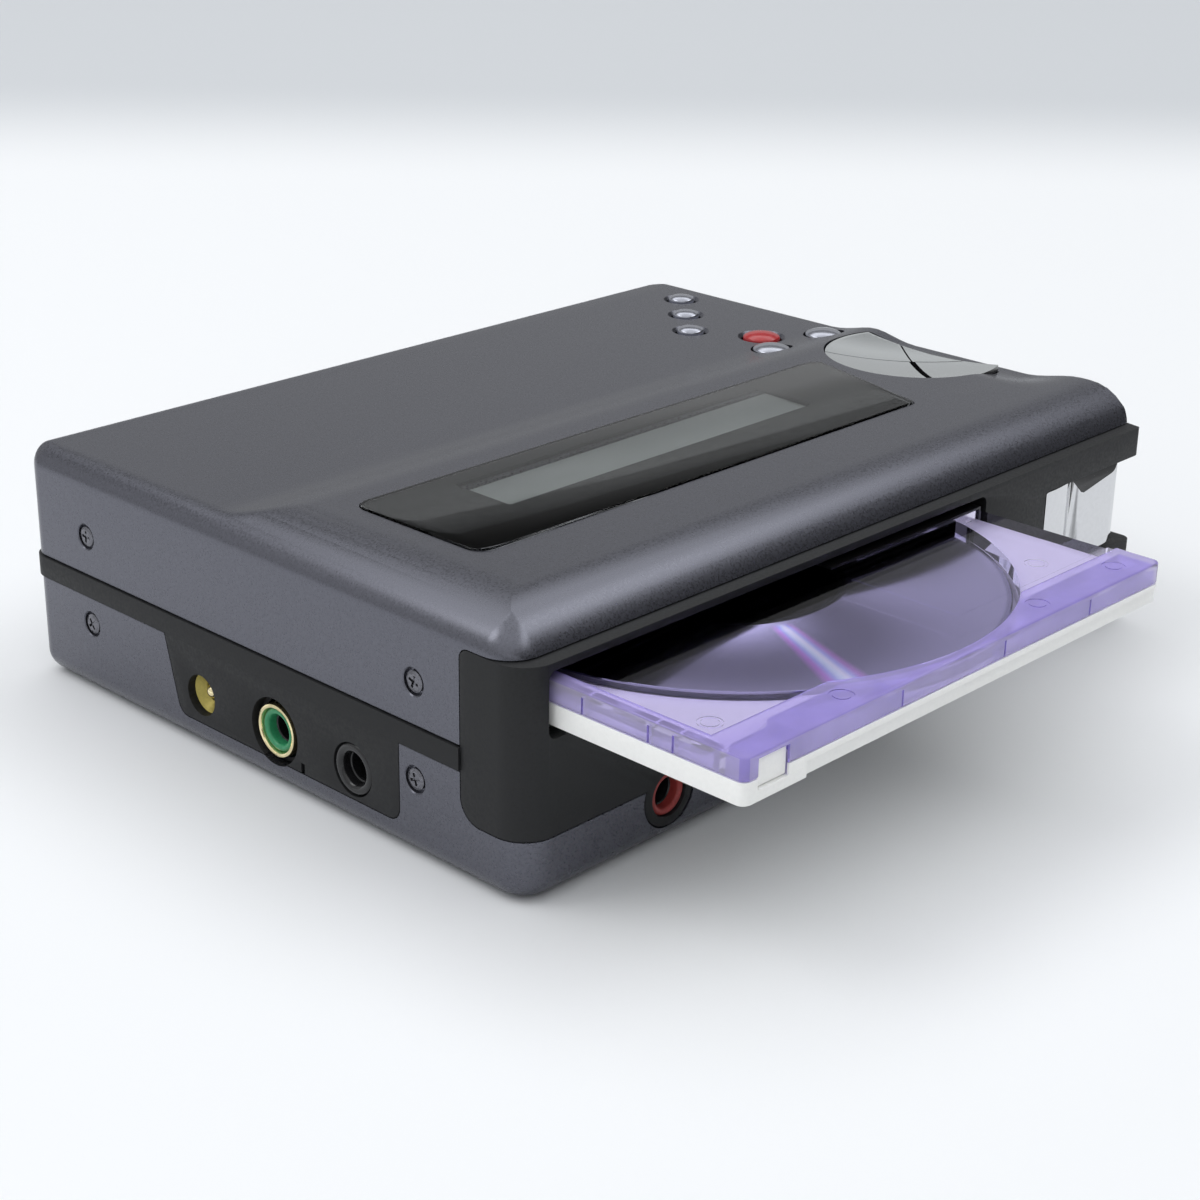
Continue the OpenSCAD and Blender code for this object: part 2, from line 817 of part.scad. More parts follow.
module cartridge_lower() {
  color([0.90, 0.91, 0.93]) difference() {
    cart_body(cart_z, cart_z + cart_low);
    rod_z(cart_z - 1, well_z + 1, cart_x, cart_y, hub_hole_r);
  }
}

module write_protect_tab() {
  y = cart_y - cart_d / 2;
  z = cart_z + cart_low;
  color([0.95, 0.95, 0.95]) block(tab_x, tab_x + tab_l, y + 0.3, y + tab_w - 0.15, z - 1.1, z + 2);
}

module cartridge_shutter() {
  x0 = cart_right - track_in + 0.4;
  y0 = cart_y - shutter_l / 2;
  color(steel) difference() {
    block(x0, cart_right, y0, y0 + shutter_l, cart_z, cart_top);
    block(x0 - 1, cart_right - shutter_t, y0 - 1, y0 + shutter_l + 1,
      cart_z + shutter_t, cart_top - shutter_t);
  }
}

hub_t = 0.5;
hub_r = 8;
disc_z = well_z + clear + hub_t;

module disc() {
  color([0.75, 0.72, 0.82]) difference() {
    rod_z(disc_z, disc_z + disc_t, cart_x, cart_y, disc_r);
    rod_z(disc_z - 1, disc_z + disc_t + 1, cart_x, cart_y, 4);
  }
}

module disc_hub() {
  color(steel) difference() {
    rod_z(well_z + clear, disc_z, cart_x, cart_y, hub_r);
    rod_z(well_z, disc_z + 1, cart_x, cart_y, 2);
  }
}

// The holder: a sheet cage open at the front, with pins that ride in the cam slider and the chassis
head_slot = 5;

module cartridge_holder() {
  color(steel) difference() {
    block(holder_left, holder_right, holder_front, holder_back, holder_z, holder_top);
    block(holder_left + sheet, holder_right - sheet, holder_front - 1, holder_back - sheet,
      holder_z + sheet, holder_top - sheet);
    block(holder_left + rail, holder_right - rail, holder_front - 1, holder_back + 1,
      holder_z - 1, holder_z + sheet + 0.01);
    block(lens_x - 5, holder_right + 1, hub_y - head_slot, hub_y + head_slot,
      holder_top - sheet - 0.01, holder_top + 1);
    stadium_slot();
    for (y = lift_pins_y) {
      rod_x(holder_left - 1, holder_left + sheet + 1, y, lift_pin_z, lift_pin_r);
      rod_x(holder_right - sheet - 1, holder_right + 1, y, lift_pin_z, lift_pin_r);
    }
  }
}

module holder_pins() {
  color(silver) for (y = lift_pins_y) {
    rod_x(side_left - skin, holder_left + sheet, y, lift_pin_z, lift_pin_r);
    rod_x(holder_right - sheet, side_right + skin, y, lift_pin_z, lift_pin_r);
  }
}

// The guide slot of the ejector in the holder's top
eject_w = 7;
eject_x = cart_right - 9;
eject_y = cart_y + cart_d / 2 + clear;
eject_d = 2.6;
eject_neck = 1.2;

module stadium_slot() {
  translate([0, 0, holder_top - sheet - 0.01]) linear_extrude(1)
    translate([eject_x, eject_y + eject_d / 2]) stadium([0, 0], [0, load_travel], eject_neck + cam_play);
}

module ejector_slider() {
  y = eject_y + eject_d / 2;
  color([0.80, 0.78, 0.70]) union() {
    block(eject_x - eject_w / 2, eject_x + eject_w / 2, eject_y, eject_y + eject_d,
      cart_z + clear, cart_top - 0.2);
    rod_z(cart_top - 0.3, holder_top + 0.1, eject_x, y, eject_neck);
    rod_z(holder_top + 0.1, holder_top + 0.5, eject_x, y, eject_neck + 0.9);
  }
}

// The slider's slanted cams push the left lift pins down as it runs to the rear
cam_play = 0.15;

module cam_slider() {
  low = lift_pin_z - drop - 2.2;
  color(steel) along_x(slider_left, slider_t) difference() {
    translate([lift_pins_y[0] - cam_travel - 3, low])
      square([lift_pins_y[1] - lift_pins_y[0] + cam_travel + 6, drop + 4.4]);
    for (y = lift_pins_y)
      stadium([y - cam_travel, lift_pin_z - drop], [y, lift_pin_z], lift_pin_r + cam_play);
  }
}

// The chassis: a deck with upright sides that guide the holder's pins
chassis_front = yf + bezel_wrap + 0.7;
chassis_back = yb - 5;
lens_x = hub_x + read_r;
sled_w = 11;
sled_x0 = lens_x - 4.6;
chassis_right = sled_x0 + sled_w + sled_travel + 3;
wall_h = lift_pin_z + 2;
sled_left = hub_x + rotor_r + 0.6;
link_deck_y = yf + bezel_wrap + 0.5;
damper_at = [[cart_left + 6, yf + 14], [cart_left + 6, yb - 12],
  [cart_right - 12, yb - 12], [cart_right - 4, yf + 14]];
damper_z = deck_z - 1.1;
damper_post_r = 1.9;
damper_r = 2.8;
waist_r = 2;
shoulder_r = 0.8;
cap_h = 0.9;

module ear(x, y) {
  w = 3.4;
  block(x, x + side_t, y - w, y + w, deck_z, wall_h);
}

module chassis() {
  color([0.55, 0.56, 0.58]) difference() {
    union() {
      block(side_left, chassis_right, chassis_front, chassis_back, deck_z, deck_top);
      block(side_left, side_left + side_t, chassis_front, chassis_back, deck_z, wall_h);
      for (y = lift_pins_y) ear(side_right - side_t, y);
      block(chassis_right - 1, link_x + link_w / 2, link_deck_y, link_y[1] + 6, tongue_z, tongue_z + deck_t);
      block(chassis_right - 1, chassis_right, link_deck_y, link_y[1] + 6,
        min(deck_z, tongue_z), max(deck_z, tongue_z) + deck_t);
      for (y = link_y) rod_z(tongue_z + deck_t / 2, link_z + link_t + 0.5, link_x, y, link_post_r);
      for (y = [-1, 1]) rod_bracket(hub_y + y * guide_gap / 2, 1.7);
      rod_bracket(screw_y, 1.4);
    }
    for (y = lift_pins_y) along_x(-big, 2 * big)
      stadium([y, lift_pin_z - drop], [y, lift_pin_z], lift_pin_r + cam_play);
    rod_z(deck_z - 1, deck_top + 1, hub_x, hub_y, 3 + fit);
    block(sled_left, chassis_right + 1, hub_y - guide_gap / 2 + 2.2, hub_y + guide_gap / 2 - 2.2,
      deck_z - 1, deck_top + 1);
    for (p = damper_at) rod_z(deck_z - 1, deck_top + 1, p[0], p[1], waist_r + fit);
    rod_x(guide_x0 - 1, chassis_right + 1, screw_y, screw_axis_z, screw_shaft_r + fit);
    motor_cut();
    jack_room();
    for (y = [-1, 1]) rod_x(guide_x0, guide_x1, hub_y + y * guide_gap / 2, guide_z, guide_r + 0.01);
  }
}

// Guide rods, in brackets at both ends
guide_z = deck_top + 2.6;
guide_x0 = hub_x + rotor_r - 3;
guide_x1 = chassis_right - 0.4;
bracket_w = 1.8;

module rod_bracket(y, half) {
  for (x = [guide_x0 - 0.5, guide_x1 - bracket_w + 0.4])
    block(x, x + bracket_w, y - half, y + half, deck_z, guide_z + 1.5);
}

module guide_rods() {
  color(silver) for (y = [-1, 1]) rod_x(guide_x0, guide_x1, hub_y + y * guide_gap / 2, guide_z, guide_r);
}

module chassis_dampers() {
  color([0.12, 0.12, 0.12]) for (p = damper_at) difference() {
    union() {
      rod_z(damper_z, deck_z, p[0], p[1], damper_r);
      rod_z(deck_z, deck_top, p[0], p[1], waist_r);
      rod_z(deck_top, deck_top + cap_h, p[0], p[1], damper_r);
    }
    rod_z(damper_z - 1, deck_top + cap_h + 1, p[0], p[1], shoulder_r + fit);
  }
}

module chassis_screws() {
  color(silver) for (p = damper_at) {
    rod_z(damper_z - 5, deck_top + cap_h, p[0], p[1], shoulder_r);
    rod_z(deck_top + cap_h, deck_top + cap_h + 0.7, p[0], p[1], 1.6);
  }
}

// Spindle motor under the deck, with its bearing through it, and the turntable on its shaft
bearing_r = 2;
shaft_r = 0.75;
rotor_z = deck_top + 0.4;
table_z = cart_z - drop - 0.9;
stator_z = deck_z - 1.9;

module spindle_motor() {
  color(steel) difference() {
    union() {
      rod_z(stator_z, deck_z, hub_x, hub_y, rotor_r);
      rod_z(deck_z, deck_top, hub_x, hub_y, 3);
      rod_z(deck_top, rotor_z + 2, hub_x, hub_y, bearing_r);
    }
    rod_z(stator_z + 0.6, rotor_z + 3, hub_x, hub_y, shaft_r + 0.03);
  }
}

module turntable() {
  color(silver) difference() {
    union() {
      rod_z(rotor_z, table_z - 1.2, hub_x, hub_y, rotor_r - 0.8);
      rod_z(table_z - 1.3, table_z, hub_x, hub_y, 4.6);
      rod_z(table_z - 0.1, table_z + 0.5, hub_x, hub_y, 1.6);
      rod_z(stator_z + 0.7, rotor_z + 2.6, hub_x, hub_y, shaft_r);
    }
    difference() {
      rod_z(rotor_z - 1, rotor_z + 2.4, hub_x, hub_y, rotor_r - 1.6);
      rod_z(rotor_z - 2, rotor_z + 3, hub_x, hub_y, shaft_r);
    }
  }
}

// The pickup sled on the rods, with its nut on the lead screw and the head arm round the cartridge's side
sled_low = deck_top + 0.4;
sled_top = table_z - 0.6;
riser_x = holder_right + 1.3;
riser_t = 1;
riser_w = 4;
riser_y = hub_y - riser_w / 2;
arm_top = holder_top + 1.3;
head_arm_t = 0.6;
screw_y = hub_y + guide_gap / 2 + 4.2;
screw_axis_z = guide_z + 0.2;
screw_shaft_r = 0.6;
screw_r_out = 1.1;
lens_r = 2;

module pickup_sled() {
  x1 = sled_x0 + sled_w;
  color([0.30, 0.31, 0.33]) difference() {
    union() {
      block(sled_x0, x1, hub_y - guide_gap / 2 + 2.6, hub_y + guide_gap / 2 - 2.6, sled_low, sled_top);
      block(sled_x0, x1, hub_y - guide_gap / 2 - 1.6, hub_y + guide_gap / 2 + 1.6,
        guide_z - 1.5, guide_z + 1.5);
      block(sled_x0 + 2, sled_x0 + 7, hub_y, screw_y + 1.4,
        screw_axis_z + screw_r_out - 0.5, screw_axis_z + screw_r_out + 1.2);
      block(sled_x0 + 4, riser_x + riser_t, riser_y, riser_y + riser_w, sled_low, sled_low + 1.6);
      block(riser_x, riser_x + riser_t, riser_y, riser_y + riser_w, sled_low, arm_top - head_arm_t);
    }
    rod_z(sled_low + 1.5, sled_top + 1, lens_x, hub_y, lens_r + 0.02);
    for (y = [-1, 1]) rod_x(sled_x0 - 1, x1 + 1, hub_y + y * guide_gap / 2, guide_z, guide_r + fit);
    rod_x(sled_x0, x1, screw_y, screw_axis_z, screw_r_out + 0.15);
  }
}

module objective_lens() {
  color([0.35, 0.55, 0.75]) intersection() {
    rod_z(sled_low + 1.5, sled_top + 0.5, lens_x, hub_y, lens_r);
    translate([lens_x, hub_y, sled_top + 0.5 - 3 * lens_r]) sphere(3 * lens_r);
  }
}

module head_arm() {
  color(silver) block(lens_x - 2, riser_x + riser_t, riser_y, riser_y + riser_w,
    arm_top - head_arm_t, arm_top);
}

module recording_head() {
  color([0.20, 0.18, 0.16]) block(lens_x - 1.5, lens_x + 1.5, hub_y - 1.3, hub_y + 1.3,
    holder_top + clear, arm_top - head_arm_t);
}

// The lead screw and its gear, driven by the sled motor's pinion
gear_r = gear_m * gear_teeth / 2;
pinion_r = gear_m * pinion_teeth / 2;
gear_dist = gear_r + pinion_r;
gear_tilt = -30;
gear_x = chassis_right + 0.5;
gear_t = 1.4;
motor_y = screw_y + gear_dist * cos(gear_tilt);
motor_z = screw_axis_z + gear_dist * sin(gear_tilt);
motor_l = 12;
motor_shaft_r = 0.45;
motor_x = chassis_right - 1 - motor_l;

function involute(base, a) =
  base * [cos(a) + a * PI / 180 * sin(a), sin(a) - a * PI / 180 * cos(a)];

function turned(p, a) = [p[0] * cos(a) - p[1] * sin(a), p[0] * sin(a) + p[1] * cos(a)];

// One gear outline with involute flanks, a tooth centred on +X turned by phase
module gear_outline(teeth, phase) {
  pitch = gear_m * teeth / 2;
  base = pitch * cos(20);
  tip = pitch + 0.8 * gear_m;
  root = pitch - 1.15 * gear_m;
  start = max(base, root + 0.01);
  roll_at_pitch = sqrt(pow(pitch / base, 2) - 1) * 180 / PI;
  flank_pitch = roll_at_pitch - atan(roll_at_pitch * PI / 180);
  play = 0.09 / pitch * 180 / PI / 2;
  half = 90 / teeth + flank_pitch - play;
  roll_tip = sqrt(pow(tip / base, 2) - 1) * 180 / PI;
  steps = 4;
  polygon([for (k = [0:teeth - 1]) let (a = phase + 360 * k / teeth) each concat(
    [turned([root, 0], a - half)],
    [for (i = [0:steps]) turned(involute(base, roll_tip * i / steps), a - half)],
    [for (i = [steps:-1:0]) let (q = involute(base, roll_tip * i / steps)) turned([q[0], -q[1]], a + half)],
    [turned([root, 0], a + half)])]);
}

module gear_solid(teeth, phase, y, z, bore) {
  translate([gear_x, y, z]) rotate([90, 0, 90]) linear_extrude(gear_t) difference() {
    gear_outline(teeth, phase);
    circle(bore);
  }
}

module lead_screw() {
  color(silver) union() {
    rod_x(guide_x0 - 0.5, gear_x + gear_t, screw_y, screw_axis_z, screw_shaft_r);
    rod_x(guide_x0 + 2, gear_x - 2.6, screw_y, screw_axis_z, screw_r_out);
  }
}

module lead_screw_gear() {
  color([0.92, 0.90, 0.84]) gear_solid(gear_teeth, gear_tilt, screw_y, screw_axis_z, screw_shaft_r);
}

module motor_pinion() {
  mesh_turn = gear_tilt + 180 + 180 / pinion_teeth;
  color([0.80, 0.65, 0.30]) union() {
    gear_solid(pinion_teeth, mesh_turn, motor_y, motor_z, motor_shaft_r / 2);
    rod_x(motor_x + motor_l - 4, gear_x + gear_t, motor_y, motor_z, motor_shaft_r);
  }
}

module motor_cut() {
  rod_x(motor_x - 0.6, motor_x + motor_l, motor_y, motor_z, motor_r + 0.1);
  rod_x(motor_x, big, motor_y, motor_z, pinion_r + 0.8);
}

module sled_motor() {
  color(steel) difference() {
    rod_x(motor_x, motor_x + motor_l, motor_y, motor_z, motor_r);
    rod_x(motor_x + motor_l - 5, big, motor_y, motor_z, motor_shaft_r + 0.03);
  }
}

// The battery in the right side of the lower shell, behind a door hinged at its rear edge
hinge_x = xr - knuckle_r;
hinge_set = 5.2;
hinge_y = yb - hinge_set - knuckle_r;
hinge_low = wall - 0.2;
hinge_high = band_z - 0.4;
battery_x1 = xr - wall - 1;
battery_x0 = gear_x + gear_t + battery_gap;
battery_w = battery_x1 - battery_x0;
battery_z = wall + 0.2;
battery_y0 = hinge_y - knuckle_r - 2 - battery_l;
battery_y1 = battery_y0 + battery_l;
door_z0 = wall + 0.9;
door_z1 = band_z - 1.9;
door_y0 = battery_y0 - 1;
door_t = wall;
rib_t = 1;

// Boards
board_z = wall + 1.4;
board_top = board_z + board_t;
board_right = battery_x0 - 2;
board_posts = [[xl + 8, yb - 7], [xl + 8, yf + 10],
  [board_right - 4, yb - 7], [board_right - 4, yf + 10], [hub_x, hub_y]];
// Chips on the board: distance from the left and the front of the case, width and depth
chips = [[16, 55, 10, 10], [29, 63, 7, 12], [44, 65, 12, 12], [62, 31, 9, 7], [38, 21, 9, 9],
  [60, 57, 6, 8], [70, 73, 5, 4]];
chip_t = 1.3;

module main_board() {
  color([0.08, 0.30, 0.18]) difference() {
    block(xl + wall + 0.6, board_right, yf + wall + 1.5, yb - wall - 1, board_z, board_top);
    for (p = damper_at) rod_z(0, board_top + 1, p[0], p[1], damper_post_r + clear);
    block(mic_x - 4.6, mic_x + 4.6, yf, yf + bezel_t + 0.6, 0, board_top + 1);
  }
}

module board_chips() {
  color([0.12, 0.12, 0.13]) for (c = chips)
    translate([xl + c[0], yf + c[1], board_top]) cube([c[2], c[3], chip_t]);
}

// Jacks: a moulded block on the board, a collar through the panel and a bore from outside
jack_w = 6.6;
jack_end = 1.5;
mic_top = mic_z + 3.2;
jack_top = board_top + jack_h;
jack_z = board_top + jack_h / 2;
jack_in = xl + panel_t;
dc_depth = 9;
dc_root_r = dc_pin_r - 0.25;

module jack_block(y, depth) {
  block(jack_in, xl + depth + jack_end, y - jack_w / 2, y + jack_w / 2, board_top, jack_top);
}

module dc_jack() {
  color([0.72, 0.62, 0.24]) difference() {
    jack_block(dc_y, dc_depth);
    rod_x(xl - 1, xl + dc_depth, dc_y, jack_z, dc_bore_r - 0.3);
    rod_x(xl - 1, big, dc_y, jack_z, dc_root_r);
  }
}

module dc_jack_pin() {
  color(silver) union() {
    rod_x(xl + 2.4, xl + dc_depth, dc_y, jack_z, dc_pin_r);
    rod_x(xl + dc_depth - 1, xl + dc_depth + jack_end, dc_y, jack_z, dc_root_r);
  }
}

module headphone_jack() {
  color([0.10, 0.45, 0.25]) difference() {
    union() {
      jack_block(headphone_y, jack_depth);
      rod_x(xl + 0.4, jack_in, headphone_y, jack_z, collar_r - 0.5);
    }
    rod_x(xl - 1, xl + jack_depth, headphone_y, jack_z, jack_bore_r);
  }
}

module headphone_ring() {
  color([0.80, 0.65, 0.30]) difference() {
    rod_x(xl + 0.2, jack_in, headphone_y, jack_z, collar_r);
    rod_x(xl - 1, jack_in + 1, headphone_y, jack_z, collar_r - 0.5);
  }
}

module line_in_jack() {
  color(black) difference() {
    union() {
      jack_block(line_y, jack_depth);
      rod_x(xl, jack_in, line_y, jack_z, collar_r);
    }
    rod_x(xl - 1, xl + jack_depth, line_y, jack_z, jack_bore_r);
  }
}

// Room for the jacks' blocks where the deck is low
module jack_room() {
  half = jack_w / 2 + clear;
  room = jack_depth + jack_end + clear;
  block(mic_x - half, mic_x + half, yf, yf + room, 0, mic_top + clear);
  block(xl, xl + room, line_y - half, dc_y + half, 0, jack_top + clear);
}

module mic_jack() {
  in = yf + bezel_t;
  color([0.62, 0.10, 0.12]) difference() {
    union() {
      block(mic_x - jack_w / 2, mic_x + jack_w / 2, in, yf + jack_depth + jack_end, board_top, mic_top);
      rod_y(yf + 0.3, in, mic_x, mic_z, mic_collar_r);
    }
    rod_y(yf - 1, yf + jack_depth, mic_x, mic_z, jack_bore_r);
  }
}

module battery() {
  color([0.20, 0.22, 0.30]) translate([battery_x0 + battery_w / 2, battery_y0 + battery_l / 2, battery_z])
    linear_extrude(battery_t) rounded(battery_w, battery_l, 1.5);
}

module battery_ribs() {
  top = battery_z + battery_t * 0.6;
  block(battery_x0 - 0.2 - rib_t, battery_x0 - 0.2, battery_y0 - 2, battery_y1 + 0.2 + rib_t, wall / 2, top);
  block(battery_x0 - 0.2, battery_x1 - 6, battery_y1 + 0.2, battery_y1 + 0.2 + rib_t, wall / 2, top);
  block(battery_x0 - 0.2 - rib_t, battery_x1 - 1, battery_y0 - 2 - rib_t, battery_y0 - 2, wall / 2, top);
}

// Bosses over and under the knuckle that hold the hinge pin
module hinge_bosses() {
  x0 = hinge_x - 1.8;
  block(x0, xr - wall / 2, hinge_y - 1.8, hinge_y + 1.8, wall / 2, door_z0 - seam);
  block(x0, xr - wall / 2, hinge_y - 1.8, hinge_y + 1.8, door_z1 + seam, band_z);
}

module battery_opening() {
  gap = seam + 0.06;
  block(xr - wall - 1, xr + 1, door_y0 - gap, hinge_y, door_z0 - gap, door_z1 + gap);
  rod_z(door_z0 - gap, door_z1 + gap, hinge_x, hinge_y, knuckle_r + gap);
  block(hinge_x, xr + 1, hinge_y - 1, hinge_y + knuckle_r + gap, door_z0 - gap, door_z1 + gap);
}

module battery_door() {
  color(shell_grey) difference() {
    union() {
      block(xr - door_t, xr, door_y0, hinge_y, door_z0, door_z1);
      rod_z(door_z0, door_z1, hinge_x, hinge_y, knuckle_r);
    }
    rod_z(door_z0 - 1, door_z1 + 1, hinge_x, hinge_y, hinge_pin_r + fit);
  }
}

module door_pin() {
  color(steel) rod_z(hinge_low, hinge_high, hinge_x, hinge_y, hinge_pin_r);
}

module battery_contacts() {
  y = battery_y0 - 2;
  color([0.80, 0.65, 0.30]) for (x = [battery_x0 + 5, battery_x0 + 12])
    difference() {
      block(x, x + 3, y, battery_y0 - 0.1, battery_z + 1.5, battery_z + battery_t - 1.5);
      block(x - 1, x + 4, y + 0.4, battery_y0 - 0.5, battery_z + 1, battery_z + battery_t - 1.9);
    }
}

top_shell();
bottom_shell();
mid_frame();
front_bezel();
display_window();
lcd_panel();
lcd_frame();
case_screws();
edit_key_1();
edit_key_2();
edit_key_3();
record_key();
pause_key();
stop_key();
pad_key_left();
pad_key_rear();
pad_key_right();
pad_key_front();
key_board();
key_switches();
cartridge_upper();
cartridge_lower();
cartridge_shutter();
write_protect_tab();
disc();
disc_hub();
cartridge_holder();
holder_pins();
cam_slider();
ejector_slider();
chassis();
chassis_dampers();
chassis_screws();
spindle_motor();
turntable();
pickup_sled();
objective_lens();
guide_rods();
lead_screw();
lead_screw_gear();
sled_motor();
motor_pinion();
head_arm();
recording_head();
main_board();
board_chips();
dc_jack();
dc_jack_pin();
headphone_jack();
headphone_ring();
line_in_jack();
mic_jack();
eject_lever();
lever_pin();
eject_link();
battery();
battery_door();
door_pin();
battery_contacts();
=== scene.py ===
import bpy
import bmesh
import json
import math
from mathutils import Matrix, Quaternion, Vector


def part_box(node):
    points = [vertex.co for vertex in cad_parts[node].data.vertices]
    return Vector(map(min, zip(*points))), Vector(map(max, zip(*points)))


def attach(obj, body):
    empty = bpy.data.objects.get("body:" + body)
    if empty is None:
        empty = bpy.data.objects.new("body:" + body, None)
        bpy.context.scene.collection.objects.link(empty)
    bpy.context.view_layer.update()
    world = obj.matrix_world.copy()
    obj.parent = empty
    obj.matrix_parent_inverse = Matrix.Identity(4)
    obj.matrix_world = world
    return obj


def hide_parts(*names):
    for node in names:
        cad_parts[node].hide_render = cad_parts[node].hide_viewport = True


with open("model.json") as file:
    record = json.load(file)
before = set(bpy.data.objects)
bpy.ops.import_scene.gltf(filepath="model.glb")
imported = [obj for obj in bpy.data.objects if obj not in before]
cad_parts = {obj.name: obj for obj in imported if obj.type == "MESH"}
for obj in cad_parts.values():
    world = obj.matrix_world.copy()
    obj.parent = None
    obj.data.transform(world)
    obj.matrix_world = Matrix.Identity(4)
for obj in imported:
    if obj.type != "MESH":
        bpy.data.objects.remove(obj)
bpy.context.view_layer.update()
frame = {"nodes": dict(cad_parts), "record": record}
scene = bpy.context.scene
scene.view_settings.view_transform = "Standard"
mm = 0.001
bodyOf = {node: body for body, nodes in frame["record"]["behaviour"]["bodies"].items() for node in nodes}


# camera, floor and light

cameraLook = {"place": (-200.26, -190.29, 119.65), "heading": 46.421, "down": 22.441, "roll": 0.86, "lens": 69.84}
# the floor's far colour is painted shade: the floor darkens with distance away from the camera
floorLook = {"pale": (0.88, 0.89, 0.905), "far": (0.62, 0.64, 0.665), "fadeFrom": 0.27, "fadeTo": 0.40, "size": 4.0}
airLook = {"tint": (0.97, 0.985, 1.0), "zones": [
    {"steps": [(0.0, 0.04), (0.35, 0.06), (0.5, 0.16), (0.62, 0.5), (0.72, 1.1), (1.0, 1.15)]},
    {"way": (0.35, 0.94, 0.0), "from": -0.2, "to": 0.35,
     "steps": [(0.0, 0.42), (0.2, 0.44), (0.29, 0.48), (0.36, 0.64), (0.42, 0.5), (0.5, 0.22), (0.58, 0.2), (0.65, 0.6),
               (0.71, 1.9), (0.8, 2.1), (0.9, 1.2), (1.0, 1.15)]},
    {"way": (-1.0, 0.0, 0.0), "from": 0.2, "to": 0.7, "steps": [(0.0, 0.6), (0.5, 0.75), (1.0, 1.15)]},
    {"way": (-0.7, -0.7, 0.0), "from": 0.7, "to": 0.92, "steps": [(0.0, 0.4), (0.4, 0.9), (1.0, 1.15)]},
    {"way": (0.8, -0.6, 0.0), "from": 0.5, "to": 0.62,
     "steps": [(0.0, 0.05), (0.4, 0.08), (0.56, 0.14), (0.63, 0.8), (0.69, 3.2), (0.8, 3.4), (0.9, 1.4), (1.0, 1.15)]}]}
lampLook = {"place": (-0.45, 0.35, 0.75), "size": 0.45, "watts": 1.15}


def makeCamera(look):
    lens = bpy.data.cameras.new("photo_camera")
    lens.lens = look["lens"]
    lens.sensor_width = 36
    lens.clip_start = 0.01
    lens.clip_end = 20
    cam = bpy.data.objects.new("photo_camera", lens)
    scene.collection.objects.link(cam)
    turn, dip = math.radians(look["heading"]), math.radians(look["down"])
    aim = Vector((math.sin(turn) * math.cos(dip), math.cos(turn) * math.cos(dip), -math.sin(dip)))
    cam.rotation_mode = "QUATERNION"
    cam.rotation_quaternion = aim.to_track_quat("-Z", "Y") @ Quaternion((0, 0, 1), math.radians(look["roll"]))
    cam.location = Vector(look["place"]) * mm
    scene.camera = cam


def makeFloor(look):
    bm = bmesh.new()
    half = look["size"] / 2
    corners = [bm.verts.new((x, y, -0.00015)) for x, y in ((-half, -half), (half, -half), (half, half), (-half, half))]
    bm.faces.new(corners)
    mesh = bpy.data.meshes.new("studio_floor")
    bm.to_mesh(mesh)
    bm.free()
    floor = bpy.data.objects.new("studio_floor", mesh)
    scene.collection.objects.link(floor)
    mat = bpy.data.materials.new("floor_paper")
    mat.use_nodes = True
    tree = mat.node_tree
    shader = tree.nodes["Principled BSDF"]
    shader.inputs["Roughness"].default_value = 0.75
    shader.inputs["Specular IOR Level"].default_value = 0.25
    # painted shade: the floor's colour goes from pale to the darker far colour with distance away from the camera
    coords = tree.nodes.new("ShaderNodeTexCoord")
    reach = tree.nodes.new("ShaderNodeVectorMath")
    reach.operation = "DOT_PRODUCT"
    reach.inputs[1].default_value = (0.72, 0.69, 0)  # away from the viewer
    tree.links.new(coords.outputs["Object"], reach.inputs[0])
    paintedFalloff = tree.nodes.new("ShaderNodeMapRange")
    paintedFalloff.interpolation_type = "SMOOTHSTEP"
    paintedFalloff.inputs["From Min"].default_value = look["fadeFrom"]
    paintedFalloff.inputs["From Max"].default_value = look["fadeTo"]
    tree.links.new(reach.outputs["Value"], paintedFalloff.inputs["Value"])
    shade = tree.nodes.new("ShaderNodeValToRGB")
    shade.color_ramp.elements[0].color = (*look["pale"], 1)
    shade.color_ramp.elements[1].color = (*look["far"], 1)
    tree.links.new(paintedFalloff.outputs["Result"], shade.inputs["Fac"])
    tree.links.new(shade.outputs["Color"], shader.inputs["Base Color"])
    mesh.materials.append(mat)


# a soft tent: bright overhead, a pale wall behind and on the left, dim towards the horizon in front
def makeAir(look):
    world = bpy.data.worlds.new("studio_air")
    scene.world = world
    world.use_nodes = True
    tree = world.node_tree
    new, link = tree.nodes.new, tree.links.new
    coords = new("ShaderNodeTexCoord").outputs["Generated"]
    split = new("ShaderNodeSeparateXYZ")
    link(coords, split.inputs[0])
    level = None
    for zone in look["zones"]:
        shade = new("ShaderNodeValToRGB")
        stops = shade.color_ramp.elements
        for place, amount in zone["steps"]:
            stop = stops[0] if place == 0 else stops[-1] if place == 1 else stops.new(place)
            stop.color = (*[amount * c for c in look["tint"]], 1)
        link(split.outputs["Z"], shade.inputs["Fac"])
        if level is None:
            level = shade.outputs["Color"]
            continue
        way = new("ShaderNodeVectorMath")
        way.operation = "DOT_PRODUCT"
        way.inputs[1].default_value = zone["way"]
        link(coords, way.inputs[0])
        share = new("ShaderNodeMapRange")
        share.interpolation_type = "SMOOTHSTEP"
        share.inputs["From Min"].default_value = zone["from"]
        share.inputs["From Max"].default_value = zone["to"]
        link(way.outputs["Value"], share.inputs["Value"])
        both = new("ShaderNodeMix")
        both.data_type = "RGBA"
        link(share.outputs["Result"], both.inputs["Factor"])
        link(level, both.inputs[6])
        link(shade.outputs["Color"], both.inputs[7])
        level = both.outputs[2]
    link(level, tree.nodes["Background"].inputs["Color"])


